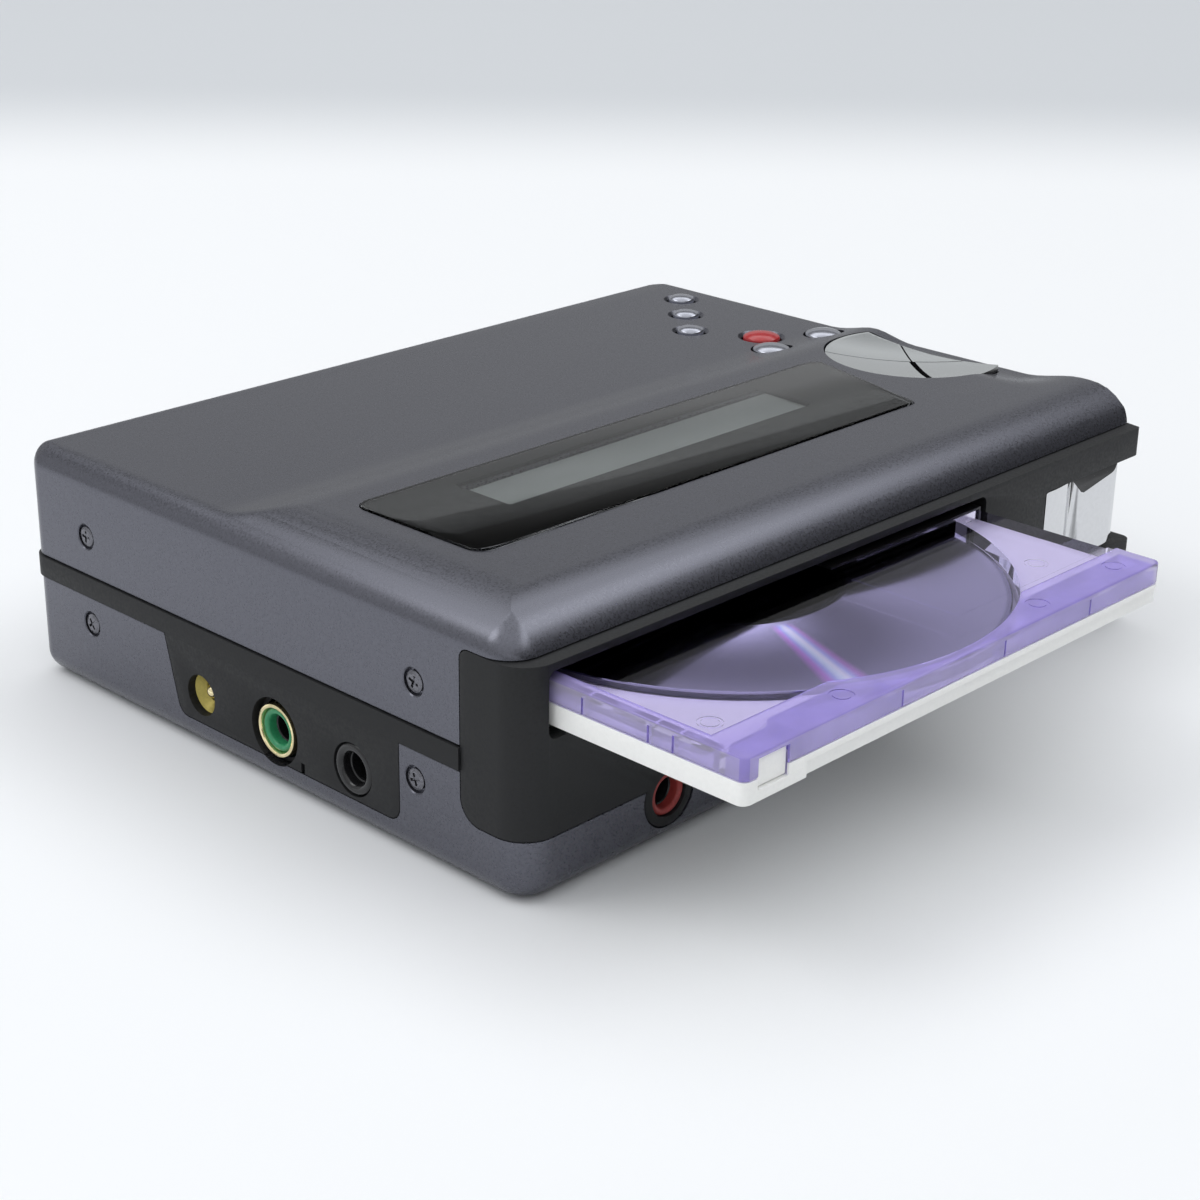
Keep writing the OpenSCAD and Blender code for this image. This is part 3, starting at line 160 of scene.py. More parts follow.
def makeLamp(look):
    data = bpy.data.lights.new("soft_box", "AREA")
    data.shape = "DISK"
    data.size = look["size"]
    data.energy = look["watts"]
    lamp = bpy.data.objects.new("soft_box", data)
    lamp.location = look["place"]
    lamp.rotation_mode = "QUATERNION"
    lamp.rotation_quaternion = (Vector((0, -0.02, 0.02)) - lamp.location).to_track_quat("-Z", "Y")
    scene.collection.objects.link(lamp)


makeCamera(cameraLook)
makeFloor(floorLook)
makeAir(airLook)
makeLamp(lampLook)
print("studio: camera, floor, air and lamp")


# finishes

def startFinish(name):
    mat = bpy.data.materials.new(name)
    mat.use_nodes = True
    tree = mat.node_tree
    coords = tree.nodes.new("ShaderNodeTexCoord")
    return mat, tree, tree.nodes["Principled BSDF"], coords.outputs["Object"]


def stretched(tree, place, stretch):
    turn = tree.nodes.new("ShaderNodeMapping")
    turn.inputs["Scale"].default_value = stretch
    tree.links.new(place, turn.inputs["Vector"])
    return turn.outputs["Vector"]


# flat place seen from a centre, and the distance from it
def roundCentre(tree, place, centre):
    move = tree.nodes.new("ShaderNodeMapping")
    move.inputs["Location"].default_value = (-centre[0] * mm, -centre[1] * mm, 0)
    move.inputs["Scale"].default_value = (1, 1, 0)
    tree.links.new(place, move.inputs["Vector"])
    reach = tree.nodes.new("ShaderNodeVectorMath")
    reach.operation = "LENGTH"
    tree.links.new(move.outputs["Vector"], reach.inputs[0])
    return move.outputs["Vector"], reach.outputs["Value"]


def noise(tree, place, scale, detail=2.0, rough=0.5):
    node = tree.nodes.new("ShaderNodeTexNoise")
    node.inputs["Scale"].default_value = scale
    node.inputs["Detail"].default_value = detail
    node.inputs["Roughness"].default_value = rough
    tree.links.new(place, node.inputs["Vector"])
    return node.outputs["Fac"]


def colourSteps(tree, factor, steps):
    node = tree.nodes.new("ShaderNodeValToRGB")
    stops = node.color_ramp.elements
    stops[0].position, stops[1].position = steps[0][0], steps[-1][0]
    for place, colour in steps[1:-1]:
        stops.new(place).color = (*colour, 1)
    stops[0].color = (*steps[0][1], 1)
    stops[len(steps) - 1].color = (*steps[-1][1], 1)
    tree.links.new(factor, node.inputs["Fac"])
    return node.outputs["Color"]


def spread(tree, factor, low, high, fromLow=0.3, fromHigh=0.7):
    node = tree.nodes.new("ShaderNodeMapRange")
    node.inputs["From Min"].default_value = fromLow
    node.inputs["From Max"].default_value = fromHigh
    node.inputs["To Min"].default_value = low
    node.inputs["To Max"].default_value = high
    tree.links.new(factor, node.inputs["Value"])
    return node.outputs["Result"]


def raised(tree, height, strength, distance):
    node = tree.nodes.new("ShaderNodeBump")
    node.inputs["Strength"].default_value = strength
    node.inputs["Distance"].default_value = distance
    tree.links.new(height, node.inputs["Height"])
    return node.outputs["Normal"]


def shaded(colour, by):
    return tuple(min(1.0, c * by) for c in colour)


# paint or plastic with a grain: colour, gloss and height follow one fine noise
def grainFinish(name, colour, gloss, grain=3500, shift=0.14, height=0.012, metal=0.0, specular=0.5, stretch=None,
                strength=0.35):
    mat, tree, shader, place = startFinish(name)
    if stretch:
        place = stretched(tree, place, stretch)
    fine = noise(tree, place, grain, 2.0, 0.6)
    steps = [(0.30, shaded(colour, 1 - shift)), (0.5, colour), (0.72, shaded(colour, 1 + shift))]
    tree.links.new(colourSteps(tree, fine, steps), shader.inputs["Base Color"])
    tree.links.new(spread(tree, fine, gloss[0], gloss[1]), shader.inputs["Roughness"])
    tree.links.new(raised(tree, fine, strength, height * mm), shader.inputs["Normal"])
    shader.inputs["Metallic"].default_value = metal
    shader.inputs["Specular IOR Level"].default_value = specular
    return mat


finishes = {
    "shellPaint": grainFinish("shell_paint", (0.130, 0.132, 0.156), (0.24, 0.36), 3600, 0.1, 0.009, 0.88),
    "frameBlack": grainFinish("frame_black", (0.0105, 0.011, 0.012), (0.46, 0.66), 2600, 0.4, 0.04, specular=0.34),
    "windowGloss": grainFinish("window_gloss", (0.005, 0.005, 0.006), (0.4, 0.5), 900, 0.1, 0.0002, specular=0.1),
    "lcdGlass": grainFinish("lcd_glass", (0.20, 0.212, 0.21), (0.3, 0.36), 2600, 0.05, 0.0005, specular=0.2),
    "silverKey": grainFinish("silver_key", (0.37, 0.38, 0.43), (0.12, 0.2), 5200, 0.05, 0.003, 0.85),
    "padSilver": grainFinish("pad_silver", (0.60, 0.625, 0.63), (0.13, 0.19), 5200, 0.04, 0.002, 0.7),
    "recordRed": grainFinish("record_red", (0.40, 0.020, 0.024), (0.12, 0.2), 3000, 0.1, 0.003),
    "leverChrome": grainFinish("lever_chrome", (0.66, 0.665, 0.68), (0.05, 0.10), 1800, 0.03, 0.001, 1.0),
    "screwSteel": grainFinish("screw_steel", (0.17, 0.17, 0.19), (0.24, 0.36), 6000, 0.2, 0.006, 0.9),
    "pinSteel": grainFinish("pin_steel", (0.58, 0.58, 0.60), (0.2, 0.3), 2500, 0.1, 0.003, 1.0),
    "sheetSteel": grainFinish("sheet_steel", (0.52, 0.53, 0.55), (0.28, 0.42), 900, 0.1, 0.004, 1.0, stretch=(1, 6, 6)),
    "darkSteel": grainFinish("dark_steel", (0.05, 0.05, 0.055), (0.34, 0.48), 900, 0.15, 0.004, 0.9, stretch=(1, 6, 6)),
    "castMetal": grainFinish("cast_metal", (0.40, 0.41, 0.43), (0.42, 0.6), 1600, 0.14, 0.03, 0.9),
    "motorCase": grainFinish("motor_case", (0.45, 0.46, 0.48), (0.25, 0.38), 1200, 0.1, 0.006, 1.0, stretch=(1, 1, 5)),
    "damperRubber": grainFinish("damper_rubber", (0.025, 0.025, 0.026), (0.6, 0.8), 1800, 0.25, 0.02),
    "chipPlastic": grainFinish("chip_plastic", (0.03, 0.03, 0.032), (0.45, 0.6), 3000, 0.2, 0.008),
    "gearPlastic": grainFinish("gear_plastic", (0.66, 0.62, 0.52), (0.35, 0.5), 1500, 0.08, 0.006),
    "brassRing": grainFinish("brass_ring", (0.92, 0.80, 0.48), (0.14, 0.22), 2400, 0.06, 0.002, 1.0),
    "powerPlastic": grainFinish("power_plastic", (0.46, 0.38, 0.09), (0.28, 0.4), 2400, 0.12, 0.006, 0.35),
    "jackGreen": grainFinish("jack_green", (0.035, 0.27, 0.12), (0.3, 0.42), 2600, 0.12, 0.006),
    "jackBlack": grainFinish("jack_black", (0.012, 0.012, 0.013), (0.16, 0.26), 2600, 0.15, 0.004),
    "jackRed": grainFinish("jack_red", (0.30, 0.040, 0.036), (0.34, 0.48), 2600, 0.14, 0.006),
    "cartWhite": grainFinish("cartridge_white", (0.92, 0.92, 0.90), (0.38, 0.52), 2200, 0.02, 0.006),
    "batteryWrap": grainFinish("battery_wrap", (0.07, 0.08, 0.13), (0.3, 0.42), 1500, 0.1, 0.006),
}


# circuit board: green lacquer over lighter copper runs
def boardFinish(name):
    mat, tree, shader, place = startFinish(name)
    cells = tree.nodes.new("ShaderNodeTexVoronoi")
    cells.feature = "DISTANCE_TO_EDGE"
    cells.inputs["Scale"].default_value = 420
    tree.links.new(place, cells.inputs["Vector"])
    steps = [(0.03, (0.05, 0.20, 0.10)), (0.06, (0.022, 0.105, 0.055)), (1.0, (0.018, 0.09, 0.05))]
    tree.links.new(colourSteps(tree, cells.outputs["Distance"], steps), shader.inputs["Base Color"])
    fine = noise(tree, place, 2200)
    tree.links.new(spread(tree, fine, 0.3, 0.45), shader.inputs["Roughness"])
    tree.links.new(raised(tree, cells.outputs["Distance"], 0.3, 0.02 * mm), shader.inputs["Normal"])
    return mat


# clear pane of the window and glass of the lens
def clearFinish(name, colour, gloss, bend=1.49, wave=0.004):
    mat, tree, shader, place = startFinish(name)
    broad = noise(tree, place, 90, 3.0)
    steps = [(0.3, shaded(colour, 0.95)), (0.7, colour)]
    tree.links.new(colourSteps(tree, broad, steps), shader.inputs["Base Color"])
    fine = noise(tree, place, 1400)
    tree.links.new(spread(tree, fine, gloss[0], gloss[1]), shader.inputs["Roughness"])
    if wave:
        tree.links.new(raised(tree, broad, 0.2, wave * mm), shader.inputs["Normal"])
    shader.inputs["Transmission Weight"].default_value = 1.0
    shader.inputs["IOR"].default_value = bend
    return mat


finishes["boardGreen"] = boardFinish("board_green")
finishes["windowClear"] = clearFinish("window_clear", (0.86, 0.88, 0.88), (0.0, 0.02), 1.16, 0)
finishes["lensGlass"] = clearFinish("lens_glass", (0.62, 0.66, 0.92), (0.0, 0.02), 1.6)


# the cartridge's purple: clear over the disc, a little paler round it
purpleLook = {"clear": (0.80, 0.77, 0.97), "round": (0.82, 0.78, 0.97), "centre": (-15.6, -33.6), "window": 32.8,
              "bend": 1.13}


def purpleFinish(name, look):
    mat, tree, shader, place = startFinish(name)
    reach = roundCentre(tree, place, look["centre"])[1]
    past = spread(tree, reach, 0.0, 1.0, (look["window"] - 0.1) * mm, (look["window"] + 0.1) * mm)
    tree.links.new(colourSteps(tree, past, [(0.0, look["clear"]), (1.0, look["round"])]), shader.inputs["Base Color"])
    tree.links.new(spread(tree, noise(tree, place, 1400), 0.01, 0.03), shader.inputs["Roughness"])
    shader.inputs["Transmission Weight"].default_value = 1.0
    shader.inputs["IOR"].default_value = look["bend"]
    return mat


# the hazier border along the front and left edges
def hazeFinish(name, colour, gloss, through):
    mat, tree, shader, place = startFinish(name)
    broad = noise(tree, place, 260, 3.0)
    tree.links.new(colourSteps(tree, broad, [(0.3, shaded(colour, 0.9)), (0.7, colour)]), shader.inputs["Base Color"])
    tree.links.new(spread(tree, noise(tree, place, 1400), gloss[0], gloss[1]), shader.inputs["Roughness"])
    shader.inputs["Transmission Weight"].default_value = through
    shader.inputs["IOR"].default_value = 1.2
    return mat


finishes["cartPurple"] = purpleFinish("cartridge_purple", purpleLook)
finishes["cartHaze"] = hazeFinish("cartridge_haze", (0.58, 0.50, 0.95), (0.08, 0.16), 0.6)
# painted light: a paler copy of the border finish for the upright rim faces, standing in for light falling on them
finishes["cartRimPaintedLight"] = hazeFinish("cartridge_edge_painted_light", (0.76, 0.70, 0.98), (0.05, 0.1), 0.6)


# the disc: mirror with fine grooves, a dark middle, and a painted rainbow sheen in a fan that turns with it and glows
# faintly
discLook = {"centre": (-15.6, -33.6), "darkTo": 12.6, "mirrorFrom": 13.2, "rimFrom": 31.2, "paintedSheenFan": -114,
            "paintedSheenFanWidth": 5.5}


def discFinish(name, look):
    mat, tree, shader, place = startFinish(name)
    flat, reach = roundCentre(tree, place, look["centre"])
    split = tree.nodes.new("ShaderNodeSeparateXYZ")
    tree.links.new(flat, split.inputs[0])
    radius = spread(tree, reach, 0.0, 1.0, 0.0, 32 * mm)
    steps = [(0.0, (0.06, 0.055, 0.075)), (look["darkTo"] / 32, (0.07, 0.065, 0.085)),
             (look["mirrorFrom"] / 32, (0.56, 0.55, 0.62)), (look["rimFrom"] / 32, (0.62, 0.61, 0.67)),
             ((look["rimFrom"] + 0.3) / 32, (0.40, 0.39, 0.46)), (1.0, (0.42, 0.41, 0.48))]
    base = colourSteps(tree, radius, steps)
    # painted sheen: a rainbow fan is painted into the base colour at a fixed angle, limited to the mirror band
    angle = tree.nodes.new("ShaderNodeMath")
    angle.operation = "ARCTAN2"
    tree.links.new(split.outputs["Y"], angle.inputs[0])
    tree.links.new(split.outputs["X"], angle.inputs[1])
    start, end = math.radians(look["paintedSheenFan"] - look["paintedSheenFanWidth"]), math.radians(look["paintedSheenFan"] + look["paintedSheenFanWidth"])
    paintedSheenFan = spread(tree, angle.outputs[0], 0.0, 1.0, start, end)
    paintedSheenSteps = [(0.0, (0, 0, 0)), (0.2, (0.30, 0.05, 0.34)), (0.34, (0.25, 0.30, 0.75)), (0.46, (0.65, 0.85, 0.95)),
               (0.56, (0.85, 0.90, 0.95)), (0.68, (0.30, 0.35, 0.80)), (0.82, (0.28, 0.08, 0.30)), (1.0, (0, 0, 0))]
    paintedSheen = colourSteps(tree, paintedSheenFan, paintedSheenSteps)
    band = colourSteps(tree, radius, [(0.44, (0, 0, 0)), (0.50, (1, 1, 1)), (0.94, (1, 1, 1)), (0.98, (0, 0, 0))])
    kept = tree.nodes.new("ShaderNodeMix")
    kept.data_type, kept.blend_type = "RGBA", "MULTIPLY"
    kept.inputs["Factor"].default_value = 1
    tree.links.new(paintedSheen, kept.inputs[6])
    tree.links.new(band, kept.inputs[7])
    both = tree.nodes.new("ShaderNodeMix")
    both.data_type, both.blend_type = "RGBA", "ADD"
    both.inputs["Factor"].default_value = 1
    tree.links.new(base, both.inputs[6])
    tree.links.new(kept.outputs[2], both.inputs[7])
    tree.links.new(both.outputs[2], shader.inputs["Base Color"])
    # painted glow: the painted sheen also drives the emission, so the fan glows faintly
    tree.links.new(kept.outputs[2], shader.inputs["Emission Color"])
    shader.inputs["Emission Strength"].default_value = 0.35
    grooves = noise(tree, reach, 9000)
    tree.links.new(spread(tree, grooves, 0.10, 0.16), shader.inputs["Roughness"])
    shader.inputs["Metallic"].default_value = 1.0
    return mat


finishes["discMirror"] = discFinish("disc_mirror", discLook)
print("finishes:", len(finishes))


# mesh helpers, all sizes in millimetres

def addPiece(name, bm):
    bmesh.ops.recalc_face_normals(bm, faces=bm.faces[:])
    mesh = bpy.data.meshes.new(name)
    bm.to_mesh(mesh)
    bm.free()
    piece = bpy.data.objects.new(name, mesh)
    scene.collection.objects.link(piece)
    return piece


# turns live modifiers into a plain mesh
def settle(piece):
    graph = bpy.context.evaluated_depsgraph_get()
    made = bpy.data.meshes.new_from_object(piece.evaluated_get(graph))
    old = piece.data
    piece.modifiers.clear()
    piece.data = made
    bpy.data.meshes.remove(old)
    return piece


def carve(piece, cutter, how="DIFFERENCE"):
    cut = piece.modifiers.new("carve", "BOOLEAN")
    cut.operation = how
    cut.solver = "MANIFOLD"
    cut.object = cutter
    settle(piece)
    old = cutter.data
    bpy.data.objects.remove(cutter)
    bpy.data.meshes.remove(old)
    return piece


def tidyFaces(piece, angle=0.4):
    bm = bmesh.new()
    bm.from_mesh(piece.data)
    bmesh.ops.remove_doubles(bm, verts=bm.verts[:], dist=0.002 * mm)
    bmesh.ops.dissolve_limit(bm, angle_limit=math.radians(angle), verts=bm.verts[:], edges=bm.edges[:])
    bm.to_mesh(piece.data)
    bm.free()
    return piece


def softEdges(piece, width, steps=2, angle=32):
    soft = piece.modifiers.new("soft", "BEVEL")
    soft.width = width * mm
    soft.segments = steps
    soft.limit_method = "ANGLE"
    soft.angle_limit = math.radians(angle)
    return settle(piece)


def smoothShade(piece, angle=34):
    piece.data.shade_smooth()
    piece.data.set_sharp_from_angle(angle=math.radians(angle))
    return piece


def dressPiece(piece, finish, body, slot, *nodes):
    piece.data.materials.clear()
    piece.data.materials.append(finishes[finish])
    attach(piece, body)
    if nodes:
        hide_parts(*nodes)
    return piece


# gives a second finish to the faces that pass a test on their corners and normal
def paintFaces(piece, finish, test):
    piece.data.materials.append(finishes[finish])
    for face in piece.data.polygons:
        if test([piece.data.vertices[i].co / mm for i in face.vertices], face.normal):
            face.material_index = len(piece.data.materials) - 1


def arcPoints(x, y, radius, start, end, steps):
    angles = [math.radians(start + (end - start) * i / steps) for i in range(steps + 1)]
    return [(x + radius * math.cos(a), y + radius * math.sin(a)) for a in angles]


def roundedBox(x0, x1, y0, y1, r, steps=8):
    return (arcPoints(x1 - r, y0 + r, r, -90, 0, steps) + arcPoints(x1 - r, y1 - r, r, 0, 90, steps)
            + arcPoints(x0 + r, y1 - r, r, 90, 180, steps) + arcPoints(x0 + r, y0 + r, r, 180, 270, steps))


# an outline drawn out along one axis: in x and y along z, in y and z along x, or in x and z along y
def prism(name, outline, low, high, axis="z"):
    def spot(a, b, h):
        return Vector({"z": (a, b, h), "x": (h, a, b), "y": (a, h, b)}[axis]) * mm
    bm = bmesh.new()
    floor = [bm.verts.new(spot(a, b, low)) for a, b in outline]
    roof = [bm.verts.new(spot(a, b, high)) for a, b in outline]
    bm.faces.new(floor)
    bm.faces.new(roof)
    for i in range(len(outline)):
        j = (i + 1) % len(outline)
        bm.faces.new((floor[i], floor[j], roof[j], roof[i]))
    bmesh.ops.remove_doubles(bm, verts=bm.verts[:], dist=0.001 * mm)
    return addPiece(name, bm)


def brick(name, x0, x1, y0, y1, z0, z1):
    return prism(name, [(x0, y0), (x1, y0), (x1, y1), (x0, y1)], z0, z1)


# the convex solid round some corner points
def hullPiece(name, corners):
    bm = bmesh.new()
    for p in corners:
        bm.verts.new(Vector(p) * mm)
    bmesh.ops.convex_hull(bm, input=bm.verts[:])
    bmesh.ops.delete(bm, geom=[v for v in bm.verts if not v.link_faces], context="VERTS")
    return addPiece(name, bm)


# a profile of (radius, height) turned round an axis through centre
def lathe(name, profile, centre, axis="z", steps=64):
    def spot(r, h, a):
        u, v = r * math.cos(a), r * math.sin(a)
        offset = {"z": (u, v, h), "x": (h, u, v), "y": (u, h, v)}[axis]
        return (Vector(centre) + Vector(offset)) * mm
    bm = bmesh.new()
    rings = []
    for r, h in profile:
        count = 1 if r < 1e-6 else steps
        rings.append([bm.verts.new(spot(r, h, 2 * math.pi * i / steps)) for i in range(count)])
    pairs = list(zip(rings, rings[1:]))
    if profile[0][0] > 1e-6 and profile[-1][0] > 1e-6:
        pairs.append((rings[-1], rings[0]))
    for a, b in pairs:
        for i in range(steps):
            j = (i + 1) % steps
            corners = [a[i % len(a)], a[j % len(a)], b[j % len(b)], b[i % len(b)]]
            bm.faces.new(list(dict.fromkeys(corners)))
    return addPiece(name, bm)


def rod(name, centre, radius, low, high, axis="z", steps=48):
    return lathe(name, [(0, low), (radius, low), (radius, high), (0, high)], centre, axis, steps)


# rings of points with equal counts, joined one to the next and closed where the first and last collapse
def skinRings(name, rings):
    bm = bmesh.new()
    loops = [[bm.verts.new(Vector(p) * mm) for p in ring] for ring in rings]
    for a, b in zip(loops, loops[1:]):
        for i in range(len(a)):
            j = (i + 1) % len(a)
            bm.faces.new((a[i], a[j], b[j], b[i]))
    bmesh.ops.remove_doubles(bm, verts=bm.verts[:], dist=0.0005 * mm)
    bmesh.ops.dissolve_degenerate(bm, edges=bm.edges[:], dist=0.0005 * mm)
    return addPiece(name, bm)


# case shells

caseLook = {"width": 112, "front": -43, "nose": -41, "rear": 43, "topCorners": (4, 1.2, 2.75),
            "lowCorners": (4, 1.5, 2.75), "wall": 1.2, "roof": 31, "step": 1.6, "rampFrom": -1.5, "rampTo": 8.5,
            "lip": 26.6, "roll": 4.4, "leftRoll": 9, "frontRoll": 7.1, "frontBall": 8, "edge": 1.6, "rightEdge": 0.6,
            "foot": 2.8, "bandTop": 15.5, "bandLow": 12.9, "seam": 0.12,
            "scoop": {"from": 45.5, "to": 54.5, "front": -33.5, "rear": 2.5, "run": 9, "deep": 1.35}}
ringCounts = {"front": 72, "right": 60, "rear": 72, "left": 60, "corner": 12}


# a ring round the case with its own front left, front right and rear corners
def ringPlan(case, front, inset, corners):
    x0, x1 = -case["width"] / 2 + inset, case["width"] / 2 - inset
    y0, y1 = front + inset, case["rear"] - inset
    f, g, r = [max(0.0, min(c - inset, (y1 - y0) / 2)) for c in corners]
    legs = [("front", "right", (x0 + f, y0), (x1 - g, y0), (x1 - g, y0 + g), g, -90),
            ("right", "rear", (x1, y0 + g), (x1, y1 - r), (x1 - r, y1 - r), r, 0),
            ("rear", "left", (x1 - r, y1), (x0 + r, y1), (x0 + r, y1 - r), r, 90),
            ("left", "front", (x0, y1 - r), (x0, y0 + f), (x0 + f, y0 + f), f, 180)]
    spots = []
    for side, after, a, b, centre, bend, turn in legs:
        count = ringCounts[side]
        for i in range(count):
            t = i / count
            spots.append((a[0] + (b[0] - a[0]) * t, a[1] + (b[1] - a[1]) * t, side, after, 0.0))
        for i in range(ringCounts["corner"]):
            t = i / ringCounts["corner"]
            angle = math.radians(turn + 90 * t)
            spots.append((centre[0] + bend * math.cos(angle), centre[1] + bend * math.sin(angle), side, after, t))
    return spots


def roofAt(case, y):
    share = min(1.0, max(0.0, (y - case["rampFrom"]) / (case["rampTo"] - case["rampFrom"])))
    return case["roof"] - case["step"] * (1 - math.cos(math.pi * share)) / 2


# the roof rolls down to the left in a quarter ellipse and to the front in a plain arc
def rollAt(case, side, d):
    width, ball = case[side + "Roll"], case["frontBall"]
    if d >= width:
        return case["roof"]
    if side == "front":
        return case["roof"] - ball + math.sqrt(ball * ball - (width - d) ** 2)
    return case["lip"] + case["roll"] * math.sqrt(max(0.0, 1 - (1 - d / width) ** 2))


def lower(a, b, soft):
    if soft < 1e-6:
        return min(a, b)
    h = max(soft - abs(a - b), 0) / soft
    return min(a, b) - h * h * soft / 4


def topAt(case, side, x, y, d):
    top = roofAt(case, y)
    soft = 0.5 * (case["roof"] - top) / case["step"]
    if side in ("front", "left"):
        return lower(top, rollAt(case, side, d), soft)
    edge = case["rightEdge" if side == "right" else "edge"]
    drop = 0 if d >= edge else edge - math.sqrt(edge * edge - (edge - d) ** 2)
    if side == "right":
        return min(top - drop, rollAt(case, "front", y - case["nose"]))
    return lower(top - drop, rollAt(case, "left", x + case["width"] / 2), soft)


def ease(t):
    t = min(1.0, max(0.0, t))
    return t * t * (3 - 2 * t)


# the right edge is scooped out beside the pad
def scoopAt(scoop, x, y):
    along = ease((y - scoop["front"]) / scoop["run"]) * ease((scoop["rear"] - y) / scoop["run"])
    return scoop["deep"] * along * ease((x - scoop["from"]) / (scoop["to"] - scoop["from"]))


def topRing(case, d, inset=0.0, sink=0.0):
    ring = []
    for x, y, side, after, t in ringPlan(case, case["nose"], d + inset, case["topCorners"]):
        z = topAt(case, side, x, y, d)
        if t > 0:
            z += (topAt(case, after, x, y, d) - z) * ease(t)
        ring.append((x, y, z - sink - scoopAt(case["scoop"], x, y)))
    return ring


def flatRing(case, front, inset, z, corners):
    return [(x, y, z) for x, y, *_ in ringPlan(case, front, inset, corners)]


def topShellBody(case):
    half = (case["rear"] - case["nose"]) / 2
    wall = case["wall"]
    rolls = [case["leftRoll"] * (1 - math.cos(math.radians(90 * i / 16))) for i in range(17)]
    steps = [9.3, 10, 11.5, 13.5, 16, 19, 22, 25, 28, 31, 33, 34, 35, 36, 37, 38, 39, 40, 41, 41.6]
    outer = [topRing(case, d) for d in rolls + steps] + [topRing(case, half)]
    inner = [topRing(case, d, wall, wall) for d in rolls[::2] + steps[::2]] + [topRing(case, half - wall, wall, wall)]
    low = case["bandTop"] + 0.02
    rim = [flatRing(case, case["nose"], d, z, case["topCorners"])
           for d, z in ((wall, low), (0.22, low), (0.0, low + 0.22))]
    return skinRings("top_shell_skin", inner[::-1] + rim + outer)


def bottomShellBody(case):
    half = (case["rear"] - case["front"]) / 2
    foot, wall, high = case["foot"], case["wall"], case["bandLow"] - 0.02
    bends = [foot * (1 - math.cos(math.radians(90 * i / 8))) for i in range(9)]

    def sole(d):
        return foot - math.sqrt(max(0.0, foot * foot - (foot - d) ** 2)) if d < foot else 0.0

    def ring(d, z):
        return flatRing(case, case["front"], d, z, case["lowCorners"])
    outer = [ring(d, sole(d)) for d in bends + [6, 20]] + [ring(half, 0.0)]
    inner = [ring(d + wall, sole(d) + wall) for d in bends[::2] + [6, 20]] + [ring(half, wall)]
    rim = [ring(wall, high), ring(0.22, high), ring(0.0, high - 0.22)]
    return skinRings("bottom_shell_skin", inner[::-1] + rim + outer)


# front bezel: its outline from the side, then slot, microphone boss, lever bay, plates and the blunt right tip
bezelLook = {"rear": -33.7, "low": 7.2, "lip": 26.6, "topRound": 1.2, "lowRound": 2.8, "wall": 2.4,
             "slot": (-52.5, 21.3, 18.2, 25.7), "slotRound": 1.0, "mic": (-34.3, 5.8), "micHole": 2.65, "boss": 3.8,
             "bossRoom": 3.92, "bay": (34.2, 11.1, 22.8), "plates": ((10.0, 11.1), (22.8, 23.9)), "plateRear": -33.76,
             "pin": (50.4, -37.7), "pinHole": 1.02, "soft": 0.32,
             "tips": ((27.1, 2.4, -1.5), (27.1, 1.6, -2.2), (22.3, 1.9, 1.9))}


# the room that the bezel takes, with round rear corners
def bezelOutline(look, grow, reach=-50):
    rear, low, lip = look["rear"] + grow, look["low"] - grow, look["lip"] + grow
    a, b = look["topRound"] + grow, look["lowRound"] + grow
    return ([(reach, low)] + arcPoints(rear - b, low + b, b, -90, 0, 8)
            + arcPoints(rear - a, lip - a, a, 0, 90, 6) + [(reach, lip)])


windowLook = {"left": -44.7, "right": 36.3, "front": -24.9, "rear": -4.3, "slant": 5.5, "corner": 2.2, "low": 30.0,
              "high": 31.2, "ledge": 3.4, "ledgeLow": 28.4, "lcd": (-31.8, 21.0, -16.0, -7.0)}


# the window's outline grown by grow, with the slanted right end beside the pad
def windowOutline(look, grow):
    x0, y0, y1 = look["left"] - grow, look["front"] - grow, look["rear"] + grow
    r = max(look["corner"] + grow, 0.3)
    lean = math.atan2(look["slant"], look["rear"] - look["front"])
    shift = grow / math.cos(lean)

    def endAt(y):
        return look["right"] - look["slant"] + shift + (y - look["front"]) * math.tan(lean)
    tip = max(0.25, 0.5 + grow)
    front = [(endAt(y0) - 2 * tip, y0), (endAt(y0) - 0.5 * tip, y0 + 0.1 * tip), (endAt(y0 + tip), y0 + tip)]
    high = look["right"] + grow
    rear = [(endAt(y1 - 1.6 * r), y1 - 1.6 * r), (high - 0.16 * r, y1 - 0.6 * r), (high - 0.75 * r, y1 - 0.1 * r),
            (high - 1.6 * r, y1)]
    return front + rear + arcPoints(x0 + r, y1 - r, r, 90, 180, 6) + arcPoints(x0 + r, y0 + r, r, 180, 270, 6)


keyLook = {"small": [(50.7, 32.8), (44.9, 26.7), (39.1, 20.6)], "smallR": 1.9, "record": (44.1, 11.7),
           "pause": (40.1, 6.5), "stop": (51.1, 6.2), "largeR": 2.6, "proud": 0.7, "gap": 0.3, "flare": 0.45}
padLook = {"centre": (49.0, -10.8), "radius": 12.0, "cut": 53.6, "rim": 30.65, "low": 28.2, "gap": 0.2}
screwLook = {"left": [-26.7, 31.2], "right": [(-19.0, 9.3), (-19.0, 20.5), (31.2, 20.5)], "heights": [9.3, 20.5],
             "hole": 1.54, "deep": 0.62}


def screwSpots(look):
    spots = [(-56, y, z, -1) for y in look["left"] for z in look["heights"]]
    return spots + [(56, y, z, 1) for y, z in look["right"]]


# a straight hole with a flared mouth
def flaredHole(name, centre, radius, low, top, flare, axis="z", side=1):
    profile = [(0, low), (radius, low), (radius, top - flare * side), (radius + flare, top),
               (radius + flare + 0.6, top + 0.6 * side), (radius + flare + 0.6, top + 2 * side), (0, top + 2 * side)]
    return lathe(name, profile, centre, axis, 48)


def padOutline(look, grow):
    r = look["radius"] + grow
    cut = look["cut"] + grow
    swing = math.degrees(math.acos((cut - look["centre"][0]) / r))
    return arcPoints(*look["centre"], r, swing, 360 - swing, 72)


